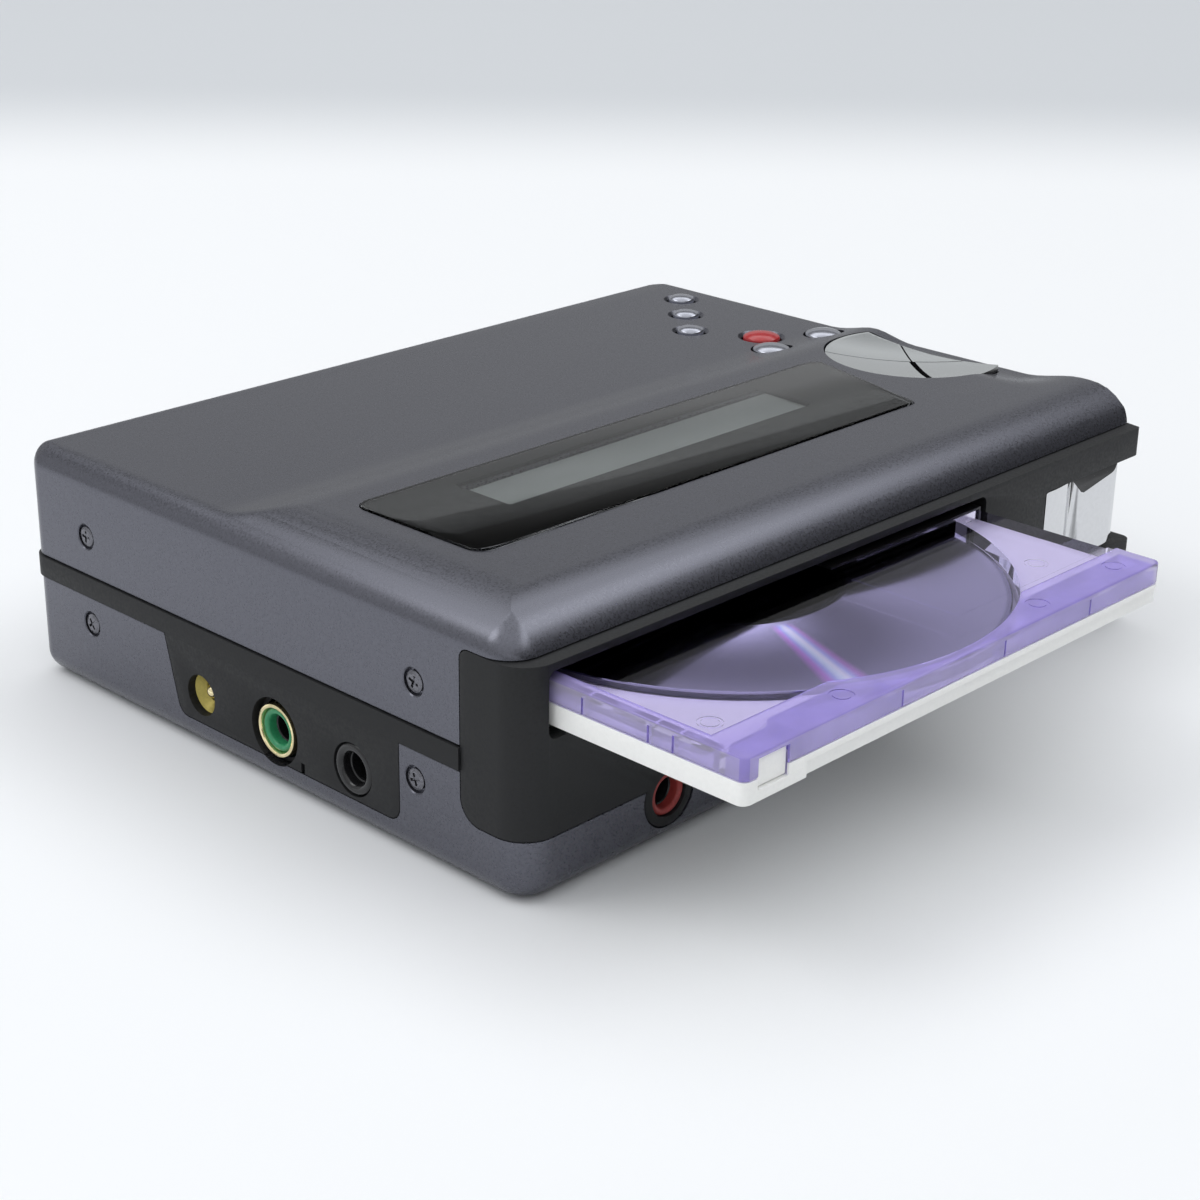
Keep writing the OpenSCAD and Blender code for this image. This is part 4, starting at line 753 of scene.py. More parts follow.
def screwHoles(piece, look, low, high):
    for x, y, z, side in screwSpots(look):
        if low < z < high:
            hole = flaredHole("hole", (0, y, z), look["hole"], x - side * look["deep"], x, 0.12, "x", side)
            carve(piece, hole)


def makeTopShell(case):
    shell = topShellBody(case)
    carve(shell, prism("cut", bezelOutline(bezelLook, case["seam"] / 2), -60, 60, "x"))
    carve(shell, prism("ledge", windowOutline(windowLook, 1.6), windowLook["ledgeLow"], 30.4), "UNION")
    carve(shell, prism("cut", windowOutline(windowLook, case["seam"]), windowLook["low"], 34))
    carve(shell, prism("cut", windowOutline(windowLook, -windowLook["ledge"]), 26, 34))
    small = [(p, keyLook["smallR"]) for p in keyLook["small"]]
    large = [(keyLook[k], keyLook["largeR"]) for k in ("record", "pause", "stop")]
    for spot, r in small + large:
        top = roofAt(case, spot[1])
        if case["rampFrom"] < spot[1] < case["rampTo"]:
            carve(shell, rod("hole", (*spot, 0), r + keyLook["gap"], 26, 34, "z", 56))
        else:
            carve(shell, flaredHole("hole", (*spot, 0), r + keyLook["gap"], 26, top, keyLook["flare"]))
    carve(shell, prism("cut", padOutline(padLook, 0.0), padLook["low"], 34))
    screwHoles(shell, screwLook, case["bandTop"], 40)
    tidyFaces(shell)
    smoothShade(shell, 28)
    return dressPiece(shell, "shellPaint", "recorder_case", "shell_metal", "top_shell")


panelLook = {"front": -24.2, "rear": 16.7, "slant": 2.4, "low": 3.4, "round": 1.6, "jackZ": 6.9, "power": 9.9,
             "phones": -3.4, "line": -16.7, "recess": 4.0, "recessRoom": 4.12}


def panelOutline(look, grow):
    r, z = look["round"], look["low"]
    return (arcPoints(look["front"] + r, z + r, r + grow, 180, 270, 6)
            + arcPoints(look["rear"] - look["slant"] - r, z + r, r + grow, 270, 345, 6)
            + [(look["rear"] + grow, 13.9), (look["front"] - grow, 13.9)])


def makeBottomShell(case):
    shell = bottomShellBody(case)
    carve(shell, prism("cut", bezelOutline(bezelLook, case["seam"] / 2), -60, 60, "x"))
    carve(shell, prism("cut", panelOutline(panelLook, case["seam"]), -58, -52.8, "x"))
    phones, (micX, micZ) = panelLook["phones"], bezelLook["mic"]
    carve(shell, rod("cut", (0, phones, panelLook["jackZ"]), panelLook["recessRoom"], -60, -50, "x", 64))
    carve(shell, rod("cut", (micX, 0, micZ), bezelLook["bossRoom"], -45, -39, "y", 64))
    lo, hi = [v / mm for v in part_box("battery_door")]
    carve(shell, brick("cut", 53.8, 58, lo.y - 0.18, hi.y + 0.18, lo.z - 0.18, hi.z + 0.18))
    screwHoles(shell, screwLook, 0, case["bandLow"])
    tidyFaces(shell)
    smoothShade(shell, 28)
    return dressPiece(shell, "shellPaint", "recorder_case", "shell_metal", "bottom_shell")


makeTopShell(caseLook)
makeBottomShell(caseLook)
print("shells: top and bottom")


# a copy of a frame node, cut as the caller likes, with its edges softened
def nodeCopy(node):
    copy = bpy.data.objects.new(node + "_dressed", frame["nodes"][node].data.copy())
    scene.collection.objects.link(copy)
    return tidyFaces(copy)


def dressedNode(node, finish, slot, width, steps=2, angle=32, copy=None):
    copy = copy or nodeCopy(node)
    softEdges(tidyFaces(copy), width, steps, angle)
    smoothShade(copy)
    return dressPiece(copy, finish, bodyOf[node], slot, node)


# the bezel is one wall round the front
def frontPlan(case, inset, rear):
    a, b = [max(0.2, r - inset) for r in case["lowCorners"][:2]]
    x, y = case["width"] / 2 - inset, case["front"] + inset
    return ([(-x, rear)] + arcPoints(-x + a, y + a, a, 180, 270, 12)
            + arcPoints(x - b, y + b, b, 270, 360, 12) + [(x, rear)])


def makeBezel(case, look):
    bezel = prism("front_bezel_dressed", frontPlan(case, 0, -33), 6, 29)
    carve(bezel, prism("cut", frontPlan(case, look["wall"], -31), 5, 30))
    carve(bezel, prism("room", bezelOutline(look, -case["seam"] / 2), -60, 60, "x"), "INTERSECT")
    carve(bezel, prism("cut", roundedBox(*look["slot"], look["slotRound"]), -46, -38, "y"))
    x, z = look["mic"]
    rim = look["boss"]
    boss = lathe("boss", [(0, -40.6), (rim, -40.6), (rim, -42.7), (rim - 0.1, -42.92), (rim - 0.3, -43), (0, -43)],
                 (x, 0, z), "y", 64)
    carve(bezel, boss, "UNION")
    carve(bezel, rod("hole", (x, 0, z), look["micHole"], -46, -38, "y", 64))
    left, low, high = look["bay"]
    carve(bezel, prism("cut", roundedBox(left, 70, low, high, 0.9), -46, -28, "y"))
    r, side, front, rear = case["lowCorners"][1], case["width"] / 2, case["front"], look["plateRear"]
    plan = ([(left - 1, front)] + arcPoints(side - r, front + r, r, 270, 360, 12)
            + [(side, rear), (53.9, rear), (53.9, -30), (46.4, -30), (46.4, rear), (left - 1, rear)])
    for z0, z1 in look["plates"]:
        carve(bezel, prism("plate", plan, z0, z1), "UNION")
    carve(bezel, brick("block", left - 1, left, -42.4, -37.6, look["plates"][0][0], look["plates"][1][1]), "UNION")
    carve(bezel, rod("hole", (*look["pin"], 0), look["pinHole"], 5, 28))
    # the lip ends on the right in a blunt tip
    side += 0.5
    for z, run, rise in look["tips"]:
        near = [(side, -44, z), (side - run, -44, z), (side, -44, z + rise)]
        far = [(side, -35, z), (side - 0.4, -35, z), (side, -35, z + math.copysign(0.4, rise))]
        carve(bezel, hullPiece("tip", near + far))
    softEdges(tidyFaces(bezel), look["soft"], 3)
    smoothShade(bezel)
    return dressPiece(bezel, "frameBlack", "recorder_case", "black_plastic", "front_bezel")


makeBezel(caseLook, bezelLook)
print("bezel: slot, boss and lever bay")


# middle frame: the band and the jack panel, with a wide recess round the headphone jack

def makeMidFrame(look):
    copy = nodeCopy("mid_frame")
    z = look["jackZ"]
    carve(copy, rod("recess", (0, look["phones"], z), look["recess"], -58, -54.6, "x", 64))
    carve(copy, brick("notch", -57, -55.3, look["phones"] - 5.1, look["phones"] - 4.5, 2.0, 4.6))
    return dressedNode("mid_frame", "frameBlack", "black_plastic", 0.22, 3, 32, copy)


makeMidFrame(panelLook)


# jacks: rounded collars with deep bores on plain blocks

jackLook = {"phones": {"collar": 2.6, "face": -55.6, "bore": 1.78, "round": 0.45},
            "line": {"collar": 3.1, "face": -56.0, "bore": 1.9, "round": 0.55},
            "mic": {"collar": 2.6, "face": -42.8, "bore": 1.78, "round": 0.45},
            "power": {"mouth": 2.45, "bore": 1.5, "face": -55.0, "funnel": 1.0, "depth": 7.4, "pin": 0.8,
                      "pinFace": -55.0}}


# ring of a jack from its block outwards: rounded lip outside and inside, bore with a blind end
def collarProfile(look, root, depth):
    c, b, f, r = look["collar"], look["bore"], look["face"], look["round"]
    outer = [(c - r + r * math.cos(a), f + r - r * math.sin(a)) for a in [math.radians(15 * i) for i in range(7)]]
    lip = min(r, (c - b) * 0.55)
    inner = [(b + lip - lip * math.cos(a), f + lip - lip * math.sin(a))
             for a in [math.radians(90 - 15 * i) for i in range(7)]]
    return [(0, root), (c, root)] + outer + inner + [(b, f + depth), (0, f + depth)]


def makeJack(node, finish, slot, look, centre, axis, depth=11):
    lo, hi = [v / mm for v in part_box(node)]
    rear = hi.x if axis == "x" else hi.y
    jack = lathe(node + "_dressed", collarProfile(look, rear - 0.4, depth), centre, axis, 72)
    start = look["face"] + 2.4
    if axis == "x":
        block = brick("block", start, rear, lo.y, hi.y, lo.z, hi.z)
    else:
        block = brick("block", lo.x, hi.x, start, rear, lo.z, hi.z)
    softEdges(block, 0.3, 2)
    carve(block, rod("bore", centre, look["bore"] + 0.3, look["face"] - 1, look["face"] + depth - 0.02, axis, 72))
    carve(jack, block, "UNION")
    smoothShade(tidyFaces(jack), 30)
    dressPiece(jack, finish, "recorder_case", slot, node)
    # painted shade: a black sleeve lines each bore, darkening it as shade would
    b, f = look["bore"], look["face"]
    end = f + depth - 0.02
    tube = [(0, end), (b - 0.02, end), (b - 0.02, f + 1.3), (b - 0.16, f + 1.4), (b - 0.16, end - 0.3), (0, end - 0.3)]
    shadeSleeve = lathe(node + "_shade_sleeve", tube, centre, axis, 72)
    smoothShade(shadeSleeve, 30)
    return dressPiece(shadeSleeve, "jackBlack", "recorder_case", "black_plastic", node)


def makeJacks(look, panel):
    z = panel["jackZ"]
    makeJack("headphone_jack", "jackGreen", "green_plastic", look["phones"], (0, panel["phones"], z), "x")
    makeJack("line_in_jack", "jackBlack", "black_plastic", look["line"], (0, panel["line"], z), "x")
    makeJack("mic_jack", "jackRed", "jack_red", look["mic"], (bezelLook["mic"][0], 0, bezelLook["mic"][1]), "y")
    ring = lathe("headphone_ring_dressed", [(2.62, -54.6), (3.2, -54.6), (3.2, -55.6), (3.1, -55.82), (2.91, -55.9),
                                            (2.72, -55.82), (2.62, -55.6)], (0, panel["phones"], z), "x", 72)
    smoothShade(ring, 40)
    dressPiece(ring, "brassRing", "recorder_case", "brass", "headphone_ring")
    # a funnel with a bore, and the pin in it
    power = look["power"]
    m, b, f, p = power["mouth"], power["bore"], power["face"], power["pin"]
    floor = f + power["depth"]
    funnel = [(m, f), (m - 0.12, f + 0.08), (b, f + power["funnel"]), (b, floor), (p + 0.05, floor),
              (p + 0.05, floor + 1.2), (m + 0.8, floor + 1.2), (m + 0.8, -54.35), (m, -54.35)]
    liner = lathe("dc_jack_dressed", funnel, (0, panel["power"], z), "x", 72)
    smoothShade(liner)
    dressPiece(liner, "powerPlastic", "recorder_case", "power_plastic", "dc_jack")
    tip = power["pinFace"]
    nose = [(p * math.sin(math.radians(a)), tip + p * 0.8 * (1 - math.cos(math.radians(a)))) for a in range(0, 91, 15)]
    pin = lathe("dc_jack_pin_dressed", nose + [(p, floor + 1.1), (0, floor + 1.1)], (0, panel["power"], z), "x", 40)
    smoothShade(pin)
    dressPiece(pin, "brassRing", "recorder_case", "pin_steel", "dc_jack_pin")


makeJacks(jackLook, panelLook)
print("jacks: power, headphones, line and microphone")


# display window: a clear pane over a black mask, open above the display

def makeWindow(look):
    pane = prism("window_pane", windowOutline(look, 0), look["low"] + 0.62, look["high"])
    softEdges(tidyFaces(pane, 0.05), 0.2, 3, 50)
    smoothShade(pane, 40)
    dressPiece(pane, "windowClear", "recorder_case", "window", "display_window")
    mask = prism("window_mask", windowOutline(look, -0.05), look["low"], look["low"] + 0.6)
    carve(mask, prism("cut", roundedBox(*look["lcd"], 0.4), look["low"] - 1, look["low"] + 2))
    smoothShade(mask, 30)
    dressPiece(mask, "windowGloss", "recorder_case", "window", "display_window")


# the display lies right under the mask
def makeDisplay(look):
    lo, hi = [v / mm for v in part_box("lcd_panel")]
    panel = prism("lcd_panel_dressed", roundedBox(lo.x, hi.x, lo.y, hi.y, 0.3, 4), lo.z, look["low"] - 0.05)
    softEdges(panel, 0.12, 2)
    smoothShade(panel)
    dressPiece(panel, "lcdGlass", "recorder_case", "lcd", "lcd_panel")


makeWindow(windowLook)
makeDisplay(windowLook)
print("window: pane, mask and display")


# round keys: a domed cap with a soft rim, on a flange and a stem

def capProfile(r, top, low, stem=1.2, foot=27.0, soft=0.38):
    ball = 2.4 * r
    rim = top - r * r / (2 * ball)
    dome = [(r * t, top - (r * t) ** 2 / (2 * ball)) for t in (0.15, 0.3, 0.45, 0.6, 0.72)]
    roll = arcPoints(r - soft, rim - soft + 0.06, soft, 70, 0, 6)
    return ([(0, foot), (stem, foot), (stem, low), (r + 0.6, low), (r + 0.6, low + 0.5), (r, low + 0.5)]
            + roll[::-1] + dome[::-1] + [(0, top)])


def makeKeys(case, look):
    keys = [("edit_key_%d" % (i + 1), p, look["smallR"], "silverKey", "silver_plastic")
            for i, p in enumerate(look["small"])]
    keys += [("record_key", look["record"], look["largeR"], "recordRed", "red_plastic"),
             ("pause_key", look["pause"], look["largeR"], "silverKey", "silver_plastic"),
             ("stop_key", look["stop"], look["largeR"], "silverKey", "silver_plastic")]
    for node, spot, r, finish, slot in keys:
        top = roofAt(case, spot[1]) + look["proud"]
        low = roofAt(case, spot[1] + r) - 2.1
        key = lathe(node + "_cap", capProfile(r, top, low), (*spot, 0), "z", 56)
        smoothShade(key, 36)
        dressPiece(key, finish, bodyOf[node], slot, node)


makeKeys(caseLook, keyLook)
print("keys: six round caps")


# control pad: four sector keys of one shallow dish

padKeys = {"pad_key_left": {"from": 130, "to": 230, "slits": (0.07, 0.4), "soft": 0.12},
           "pad_key_rear": {"from": 50, "to": 130, "slits": (0.12, 0.07), "soft": 0.3},
           "pad_key_right": {"from": -50, "to": 50, "slits": (0.12, 0.12), "soft": 0.5},
           "pad_key_front": {"from": 230, "to": 310, "slits": (0.4, 0.12), "soft": 0.55}}


# plan of a sector, drawn in by the slit on each side
def sectorOutline(look, key, radius):
    a0, a1 = math.radians(key["from"]), math.radians(key["to"])
    s0, s1 = key["slits"]
    p0, p1 = (-math.sin(a0) * s0, math.cos(a0) * s0), (math.sin(a1) * s1, -math.cos(a1) * s1)
    cross = math.sin(a1 - a0)
    t = ((p1[0] - p0[0]) * math.sin(a1) - (p1[1] - p0[1]) * math.cos(a1)) / cross
    apex = (p0[0] + t * math.cos(a0), p0[1] + t * math.sin(a0))
    b0, b1 = a0 + math.asin(s0 / radius), a1 - math.asin(s1 / radius)
    arc = arcPoints(0, 0, radius, math.degrees(b0), math.degrees(b1), 40)
    return [(look["centre"][0] + x, look["centre"][1] + y) for x, y in [apex] + arc]


def padProfile(look):
    edge, ball = look["radius"] - look["gap"], 66.0
    centre = look["rim"] - edge * edge / (2 * ball)
    top = [(r, centre + r * r / (2 * ball)) for r in [edge * (1 - i / 24) for i in range(24)]]
    low = look["low"]
    return [(0, low - 0.6), (edge + 0.4, low - 0.6), (edge + 0.4, low), (edge, low), *top, (0, centre)]


def makePad(look, keys):
    cx, cy = look["centre"]
    for node, key in keys.items():
        outline = sectorOutline(look, key, look["radius"] + 0.6)
        sector = prism(node + "_cap", outline, look["low"] - 0.6, look["rim"] + 2)
        carve(sector, lathe("dish", padProfile(look), (cx, cy, 0), "z", 120), "INTERSECT")
        carve(sector, brick("cut", look["cut"] - look["gap"], cx + 20, cy - 20, cy + 20, 20, look["rim"] + 3))
        mid = math.radians((key["from"] + key["to"]) / 2)
        reach = 6.5 * (0.4 if node == "pad_key_right" else 1)
        spot = (cx + reach * math.cos(mid), cy + reach * math.sin(mid), 0)
        carve(sector, rod("stem", spot, 1.2, 27.0, look["low"]), "UNION")
        softEdges(tidyFaces(sector, 0.2), key["soft"], 3, 40)
        smoothShade(sector, 36)
        dressPiece(sector, "padSilver", bodyOf[node], "silver_plastic", node)
        # painted shade: the upright walls of each sector, inside the slits, are painted black
        paintFaces(sector, "jackBlack", lambda spots, normal: abs(normal.z) < 0.2)  # dark slits


makePad(padLook, padKeys)
print("pad: four sector keys")


# eject lever: a hooked thumb tab, a hard ridge and a body that wraps the corner

leverLook = {"low": 11.6, "high": 22.2, "pivot": (50.4, -37.7), "outer": 4.6, "inner": 3.1, "boss": 2.2, "hole": 1.05,
             "soft": 0.34}


def leverOutline(look):
    px, py = look["pivot"]
    tab = [(35.4, -40.9), (35.45, -41.7), (35.8, -42.15), (36.4, -42.3), (37.6, -42.3), (38.8, -42.22), (39.8, -42.12),
           (40.6, -42.0), (41.3, -41.82), (41.9, -41.58), (42.4, -41.3), (42.75, -41.05), (43.0, -40.95)]
    ridge = [(43.3, -41.2), (43.55, -41.7), (43.75, -42.15), (44.2, -42.3)]
    outer = arcPoints(px, py, look["outer"], 270, 360, 16) + [(px + look["outer"], -35.2), (px + look["inner"], -35.2)]
    inner = arcPoints(px, py, look["inner"], 360, 270, 14)
    back = [(45.0, -40.8), (44.3, -39.6), (43.4, -38.7), (42.6, -38.65), (41.6, -39.2), (40.4, -39.9), (39.0, -40.5),
            (37.4, -40.8), (36.2, -40.85)]
    return tab + ridge + outer + inner + back


def makeLever(look):
    low, high = look["low"], look["high"]
    px, py = look["pivot"]
    lever = prism("eject_lever_dressed", leverOutline(look), low, high)
    face = (arcPoints(50.0, low + 5.0, 5.0, 270, 360, 10) + [(55.0, high)]
            + arcPoints(36.4, high - 1.0, 1.0, 90, 180, 5) + [(35.4, low)])
    carve(lever, prism("face", face, -46, -30, "y"), "INTERSECT")
    # the top slants down to the front
    a, b, c = Vector((43.1, -42.5, 19.7)), Vector((54.6, -42.0, 22.4)), Vector((43.1, -40.5, 22.4))
    far = [b + (a - c) * 2, a + (a - c)]
    carve(lever, hullPiece("slant", [c, b, *far] + [p + Vector((0, 0, 6)) for p in [c, b, *far]]))
    softEdges(tidyFaces(lever, 0.2), look["soft"], 3, 40)
    carve(lever, brick("spoke", px - 1.2, px + 1.2, -41.4, py, low + 0.6, high - 0.6), "UNION")
    carve(lever, rod("boss", (px, py, 0), look["boss"], low, high), "UNION")
    carve(lever, prism("arm", roundedBox(38.2, px, -38.9, -36.5, 1.15), 14.2, 15.4), "UNION")
    carve(lever, rod("link_pin", (39.4, -37.7, 0), 0.8, 11.9, 14.4, "z", 32), "UNION")
    carve(lever, rod("hole", (px, py, 0), look["hole"], 5, 28))
    smoothShade(tidyFaces(lever, 0.1), 32)
    return dressPiece(lever, "leverChrome", "lever", "lever_chrome", "eject_lever")


makeLever(leverLook)
print("lever: tab, ridge and corner")


# disc cartridge: clear upper half over a white lower half

cartLook = {"box": (-51.6, 20.4, -67.6, 0.4), "corner": 1.0, "split": 21.93, "top": 24.5, "centre": (-15.6, -33.6),
            "well": 32.7, "roof": 23.5, "label": (-49.8, -61.8), "labelDeep": 0.35, "track": (-8.5, -60.55, -23.95),
            "trackDeep": 0.38, "gate": (-3.1, -42.6, -24.6), "tab": (-49.65, -45.1, -42.95, -64.0, 24.0), "skin": 0.27,
            "ribs": [-27.6, -10.0, 6.0], "sideRibs": [-58.6, -55.4, -46.6], "ribThick": 0.35, "slit": 0.28,
            "rings": [(-33.9, -64.8), (-0.3, -64.9), (15.1, -64.6), (10.3, -57.6), (-47.2, -59.4)], "ringR": 1.15}


def makeCartridgeTop(look):
    x0, x1, y0, y1 = look["box"]
    cx, cy = look["centre"]
    top = prism("cartridge_upper_dressed", roundedBox(x0, x1, y0, y1, look["corner"], 6), look["split"], look["top"])
    softEdges(top, 0.28, 3, 50)
    carve(top, rod("well", (cx, cy, 0), look["well"], 20, look["roof"], "z", 160))
    labelX, labelY = look["label"]
    carve(top, brick("label", labelX, x1 + 2, labelY, y1 + 2, look["top"] - look["labelDeep"], 30))
    carve(top, rod("label", (cx, cy, 0), look["well"] + 0.1, look["top"] - look["labelDeep"], 30, "z", 160))
    trackX, trackLow, trackHigh = look["track"]
    carve(top, brick("track", trackX, x1 + 2, trackLow, trackHigh, look["top"] - look["trackDeep"], 30))
    carve(top, brick("track", x1 - look["trackDeep"], x1 + 2, trackLow, trackHigh, 20, 30))
    gateX, gateLow, gateHigh = look["gate"]
    carve(top, brick("gate", gateX, x1 + 2, gateLow, gateHigh, 20, 30))
    tabX0, tabX1, tabX2, tabRear, tabTop = look["tab"]
    carve(top, brick("tab", tabX0, tabX1, y0 - 1, tabRear, 20, tabTop))
    carve(top, brick("tab", tabX1 - 0.1, tabX2, y0 + look["skin"], tabRear, 20, tabTop))
    # pockets under the border, parted by ribs
    half = look["ribThick"] / 2
    stops = [tabX2 + 0.4] + look["ribs"] + [x1 - 0.4]
    for a, b in zip(stops, stops[1:]):
        carve(top, brick("pocket", a + half, b - half, y0 + 0.9, labelY - 0.6, 20, look["roof"] - 0.1))
    sides = [-63.4] + look["sideRibs"] + [-30.0]
    for a, b in zip(sides, sides[1:]):
        carve(top, brick("pocket", x0 + 0.8, x0 + 2.0, a + half, b - half, 20, look["roof"] - 0.1))
    # thin slits in the rim
    half = look["slit"] / 2
    for x in look["ribs"]:
        carve(top, brick("slit", x - half, x + half, y0 - 1, y0 + 0.7, 20, look["top"] - 0.6))
    for y in look["sideRibs"]:
        carve(top, brick("slit", x0 - 1, x0 + 0.6, y - half, y + half, 20, look["top"] - 0.6))
    for x, y in look["rings"]:
        z = look["top"] - (look["labelDeep"] if y > labelY else 0)
        a, b = look["ringR"] - 0.2, look["ringR"] + 0.2
        carve(top, lathe("ring", [(a, z - 0.08), (b, z - 0.08), (b, z + 1), (a, z + 1)], (x, y, 0), "z", 32))
    smoothShade(tidyFaces(top, 0.1), 30)
    dressPiece(top, "cartPurple", "cartridge", "cartridge_clear", "cartridge_upper")

    def inBorder(spots, normal):
        return all(p.y < labelY + 0.05 or p.x < labelX + 0.05 for p in spots)

    def onRim(spots, normal):
        return abs(normal.z) < 0.3 and all(p.y < y0 + 0.1 or p.x < x0 + 0.1 for p in spots)
    paintFaces(top, "cartHaze", inBorder)
    # painted light: the upright rim faces take the paler, lit-looking copy of the border finish
    paintFaces(top, "cartRimPaintedLight", onRim)


def makeCartridgeBase(look):
    copy = nodeCopy("cartridge_lower")
    x0, x1, y0, y1 = look["box"]
    carve(copy, brick("step", x0 + 9.2, x1 + 1, y0 - 1, y0 + 0.45, 18, 21.2))
    carve(copy, brick("skin", look["tab"][1], look["tab"][2] + 0.1, y0 + 0.02, y0 + look["skin"], 20.5, 21.9), "UNION")
    return dressedNode("cartridge_lower", "cartWhite", "cartridge_white", 0.2, 3, 40, copy)


makeCartridgeTop(cartLook)
makeCartridgeBase(cartLook)
dressedNode("write_protect_tab", "cartWhite", "cartridge_white", 0.18, 2)


# the disc with its raised clamp ring and soft rim
def makeDisc(look):
    profile = [(4, 21.3), (31.85, 21.3), (32, 21.45), (32, 22.35), (31.85, 22.5), (14.2, 22.5), (14.0, 22.58),
               (13.2, 22.58), (13.0, 22.5), (8.4, 22.5), (8.2, 22.62), (4.2, 22.62), (4, 22.5)]
    disc = lathe("disc_dressed", profile, (*look["centre"], 0), "z", 160)
    smoothShade(disc, 30)
    return dressPiece(disc, "discMirror", "disc_set", "disc_coat", "disc")


makeDisc(discLook)
print("cartridge: halves, tab and disc")


# case screws: one head with a cross, set on points that carry each screw's aim

screwSizes = {"headRadius": 1.2, "headHeight": 0.5, "domeShare": 0.72, "crossLength": 1.45, "crossWidth": 0.32,
              "crossDepth": 0.34, "shankRadius": 0.7, "shankLength": 2.6, "sink": 0.05}


def screwTree(sizes):
    tree = bpy.data.node_groups.new("case_screw", "GeometryNodeTree")
    face = tree.interface
    face.new_socket("Points", in_out="INPUT", socket_type="NodeSocketGeometry")
    sockets = {}
    for name in sizes:
        sockets[name] = face.new_socket(name, in_out="INPUT", socket_type="NodeSocketFloat").identifier
    sockets["finish"] = face.new_socket("finish", in_out="INPUT", socket_type="NodeSocketMaterial").identifier
    face.new_socket("Screws", in_out="OUTPUT", socket_type="NodeSocketGeometry")
    new, link = tree.nodes.new, tree.links.new
    given, made = new("NodeGroupInput"), new("NodeGroupOutput")

    def sums(how, a, b):
        node = new("ShaderNodeMath")
        node.operation = how
        for i, v in enumerate((a, b)):
            if isinstance(v, (int, float)):
                node.inputs[i].default_value = v
            else:
                link(v, node.inputs[i])
        return node.outputs[0]

    def vector(x=None, y=None, z=None):
        node = new("ShaderNodeCombineXYZ")
        for i, v in enumerate((x, y, z)):
            if v is not None:
                link(v, node.inputs[i])
        return node.outputs[0]

    def moved(mesh, z):
        node = new("GeometryNodeTransform")
        link(mesh, node.inputs["Geometry"])
        link(vector(z=z), node.inputs["Translation"])
        return node.outputs[0]

    def drum(radius, depth, sides):
        node = new("GeometryNodeMeshCylinder")
        node.inputs["Vertices"].default_value = sides
        link(radius, node.inputs["Radius"])
        link(depth, node.inputs["Depth"])
        return node.outputs["Mesh"]

    def joined(how, first, others):
        node = new("GeometryNodeMeshBoolean")
        node.operation = how
        if how == "DIFFERENCE":
            link(first, node.inputs["Mesh 1"])
        for mesh in ([first] if how == "UNION" else []) + others:
            link(mesh, node.inputs["Mesh 2"])
        return node.outputs["Mesh"]

    height, sink = given.outputs["headHeight"], given.outputs["sink"]
    wall = sums("MULTIPLY", height, 0.68)
    seat = sums("MULTIPLY", sums("ADD", height, sink), -1.0)
    base = moved(drum(given.outputs["headRadius"], wall, 40), sums("ADD", seat, sums("MULTIPLY", wall, 0.5)))
    dome = new("GeometryNodeMeshCone")
    dome.inputs["Vertices"].default_value = 40
    link(sums("MULTIPLY", given.outputs["headRadius"], given.outputs["domeShare"]), dome.inputs["Radius Top"])
    link(given.outputs["headRadius"], dome.inputs["Radius Bottom"])
    link(sums("MULTIPLY", height, 0.4), dome.inputs["Depth"])
    crown = moved(dome.outputs["Mesh"], sums("ADD", seat, sums("MULTIPLY", height, 0.6)))
    shank = drum(given.outputs["shankRadius"], given.outputs["shankLength"], 20)
    stem = moved(shank, sums("SUBTRACT", seat, sums("MULTIPLY", given.outputs["shankLength"], 0.48)))
    solid = joined("UNION", base, [crown, stem])
    bars = []
    for turned in (False, True):
        bar = new("GeometryNodeMeshCube")
        long, wide = given.outputs["crossLength"], given.outputs["crossWidth"]
        across = (wide, long) if turned else (long, wide)
        link(vector(*across, given.outputs["crossDepth"]), bar.inputs["Size"])
        bars.append(moved(bar.outputs["Mesh"], sums("MULTIPLY", sink, -1.0)))
    head = joined("DIFFERENCE", solid, [joined("UNION", bars[0], bars[1:])])
    aim = new("GeometryNodeInputNamedAttribute")
    aim.data_type = "FLOAT_VECTOR"
    aim.inputs["Name"].default_value = "aim"
    place = new("GeometryNodeInstanceOnPoints")
    link(given.outputs["Points"], place.inputs["Points"])
    link(head, place.inputs["Instance"])
    link(aim.outputs["Attribute"], place.inputs["Rotation"])
    real = new("GeometryNodeRealizeInstances")
    link(place.outputs["Instances"], real.inputs["Geometry"])
    paint = new("GeometryNodeSetMaterial")
    link(real.outputs["Geometry"], paint.inputs["Geometry"])
    link(given.outputs["finish"], paint.inputs["Material"])
    link(paint.outputs["Geometry"], made.inputs["Screws"])
    return tree, sockets


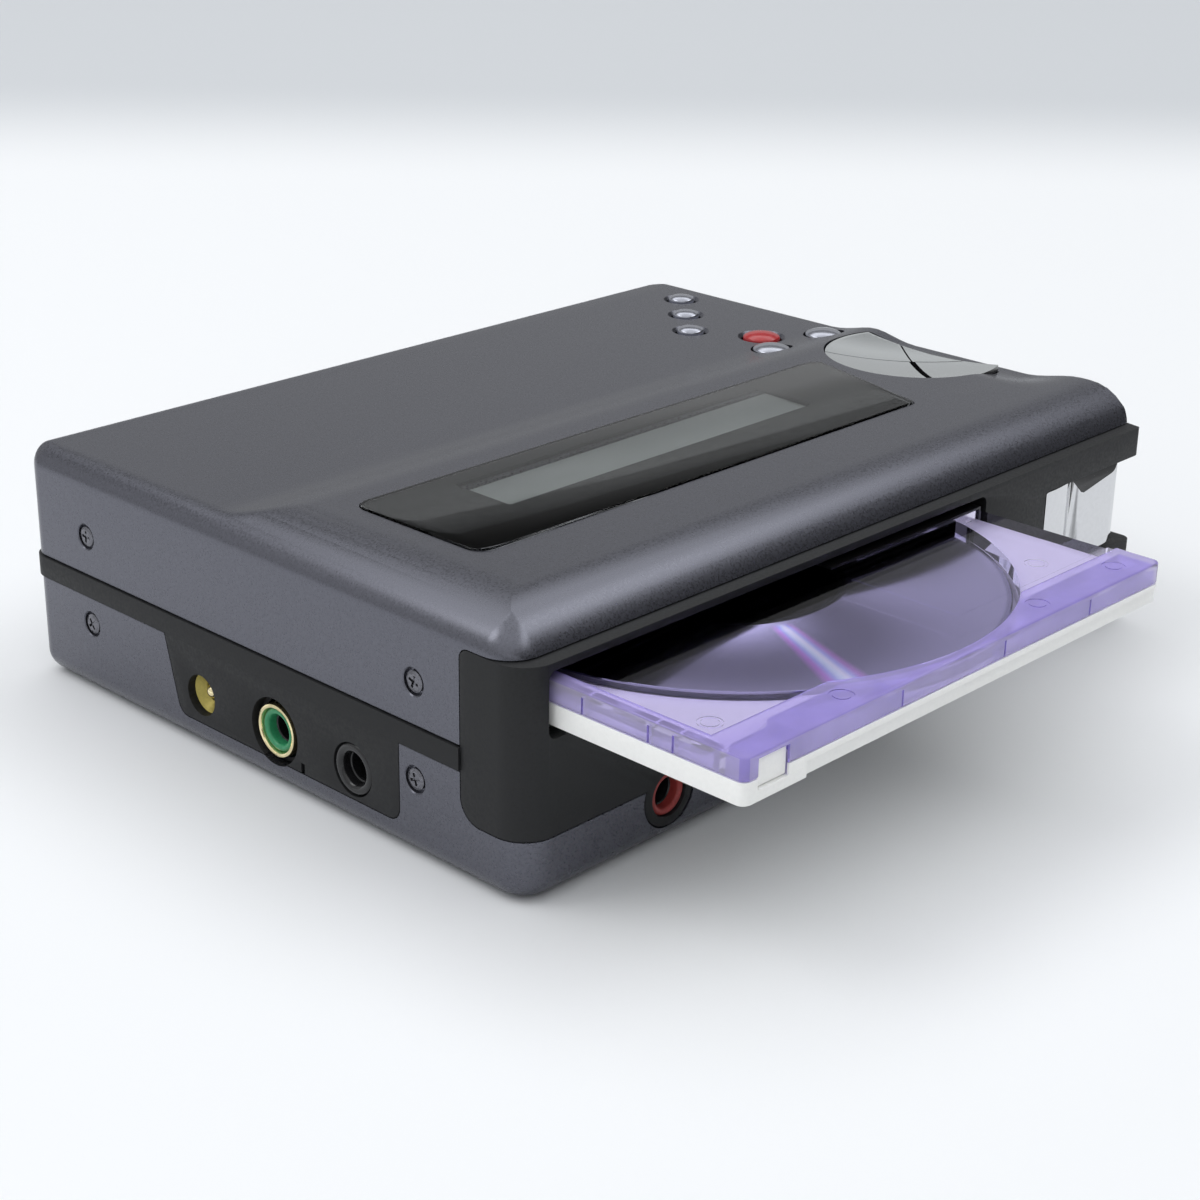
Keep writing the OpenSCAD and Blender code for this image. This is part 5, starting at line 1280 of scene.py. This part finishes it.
def makeScrews(look, sizes):
    spots = screwSpots(look)
    points = bpy.data.meshes.new("screw_points")
    points.from_pydata([Vector((x, y, z)) * mm for x, y, z, _ in spots], [], [])
    aims = points.attributes.new("aim", "FLOAT_VECTOR", "POINT")
    for i, (x, y, z, side) in enumerate(spots):
        turn = Matrix.Rotation(math.radians(90 * side), 3, "Y") @ Matrix.Rotation(math.radians(17 + 53 * i), 3, "Z")
        aims.data[i].vector = turn.to_euler("XYZ")
    screws = bpy.data.objects.new("case_screws_dressed", points)
    scene.collection.objects.link(screws)
    tree, sockets = screwTree(sizes)
    maker = screws.modifiers.new("screws", "NODES")
    maker.node_group = tree
    for name, value in sizes.items():
        maker[sockets[name]] = value if name == "domeShare" else value * mm
    maker[sockets["finish"]] = finishes["screwSteel"]
    settle(screws)
    screws.data.validate()
    smoothShade(screws, 30)
    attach(screws, "recorder_case")
    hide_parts("case_screws")


makeScrews(screwLook, screwSizes)
dressedNode("battery_door", "shellPaint", "shell_metal", 0.3, 3)
print("screws and battery door")


# finishes of the frame nodes that stay

nodeFinishes = {
    "lcd_frame": "frameBlack", "key_board": "boardGreen", "key_switches": "sheetSteel",
    "cartridge_shutter": "darkSteel", "disc_hub": "sheetSteel", "cartridge_holder": "darkSteel",
    "holder_pins": "pinSteel", "cam_slider": "sheetSteel", "ejector_slider": "gearPlastic", "chassis": "castMetal",
    "chassis_dampers": "damperRubber", "chassis_screws": "pinSteel", "spindle_motor": "motorCase",
    "turntable": "castMetal", "pickup_sled": "castMetal", "objective_lens": "lensGlass", "guide_rods": "pinSteel",
    "lead_screw": "pinSteel", "lead_screw_gear": "gearPlastic", "sled_motor": "motorCase",
    "motor_pinion": "brassRing", "head_arm": "sheetSteel", "recording_head": "chipPlastic",
    "main_board": "boardGreen", "board_chips": "chipPlastic", "lever_pin": "pinSteel", "eject_link": "sheetSteel",
    "battery": "batteryWrap", "door_pin": "pinSteel", "battery_contacts": "brassRing",
}
for node, finish in nodeFinishes.items():
    materials = frame["nodes"][node].data.materials
    materials.clear()
    materials.append(finishes[finish])
print("frame nodes finished:", len(nodeFinishes))
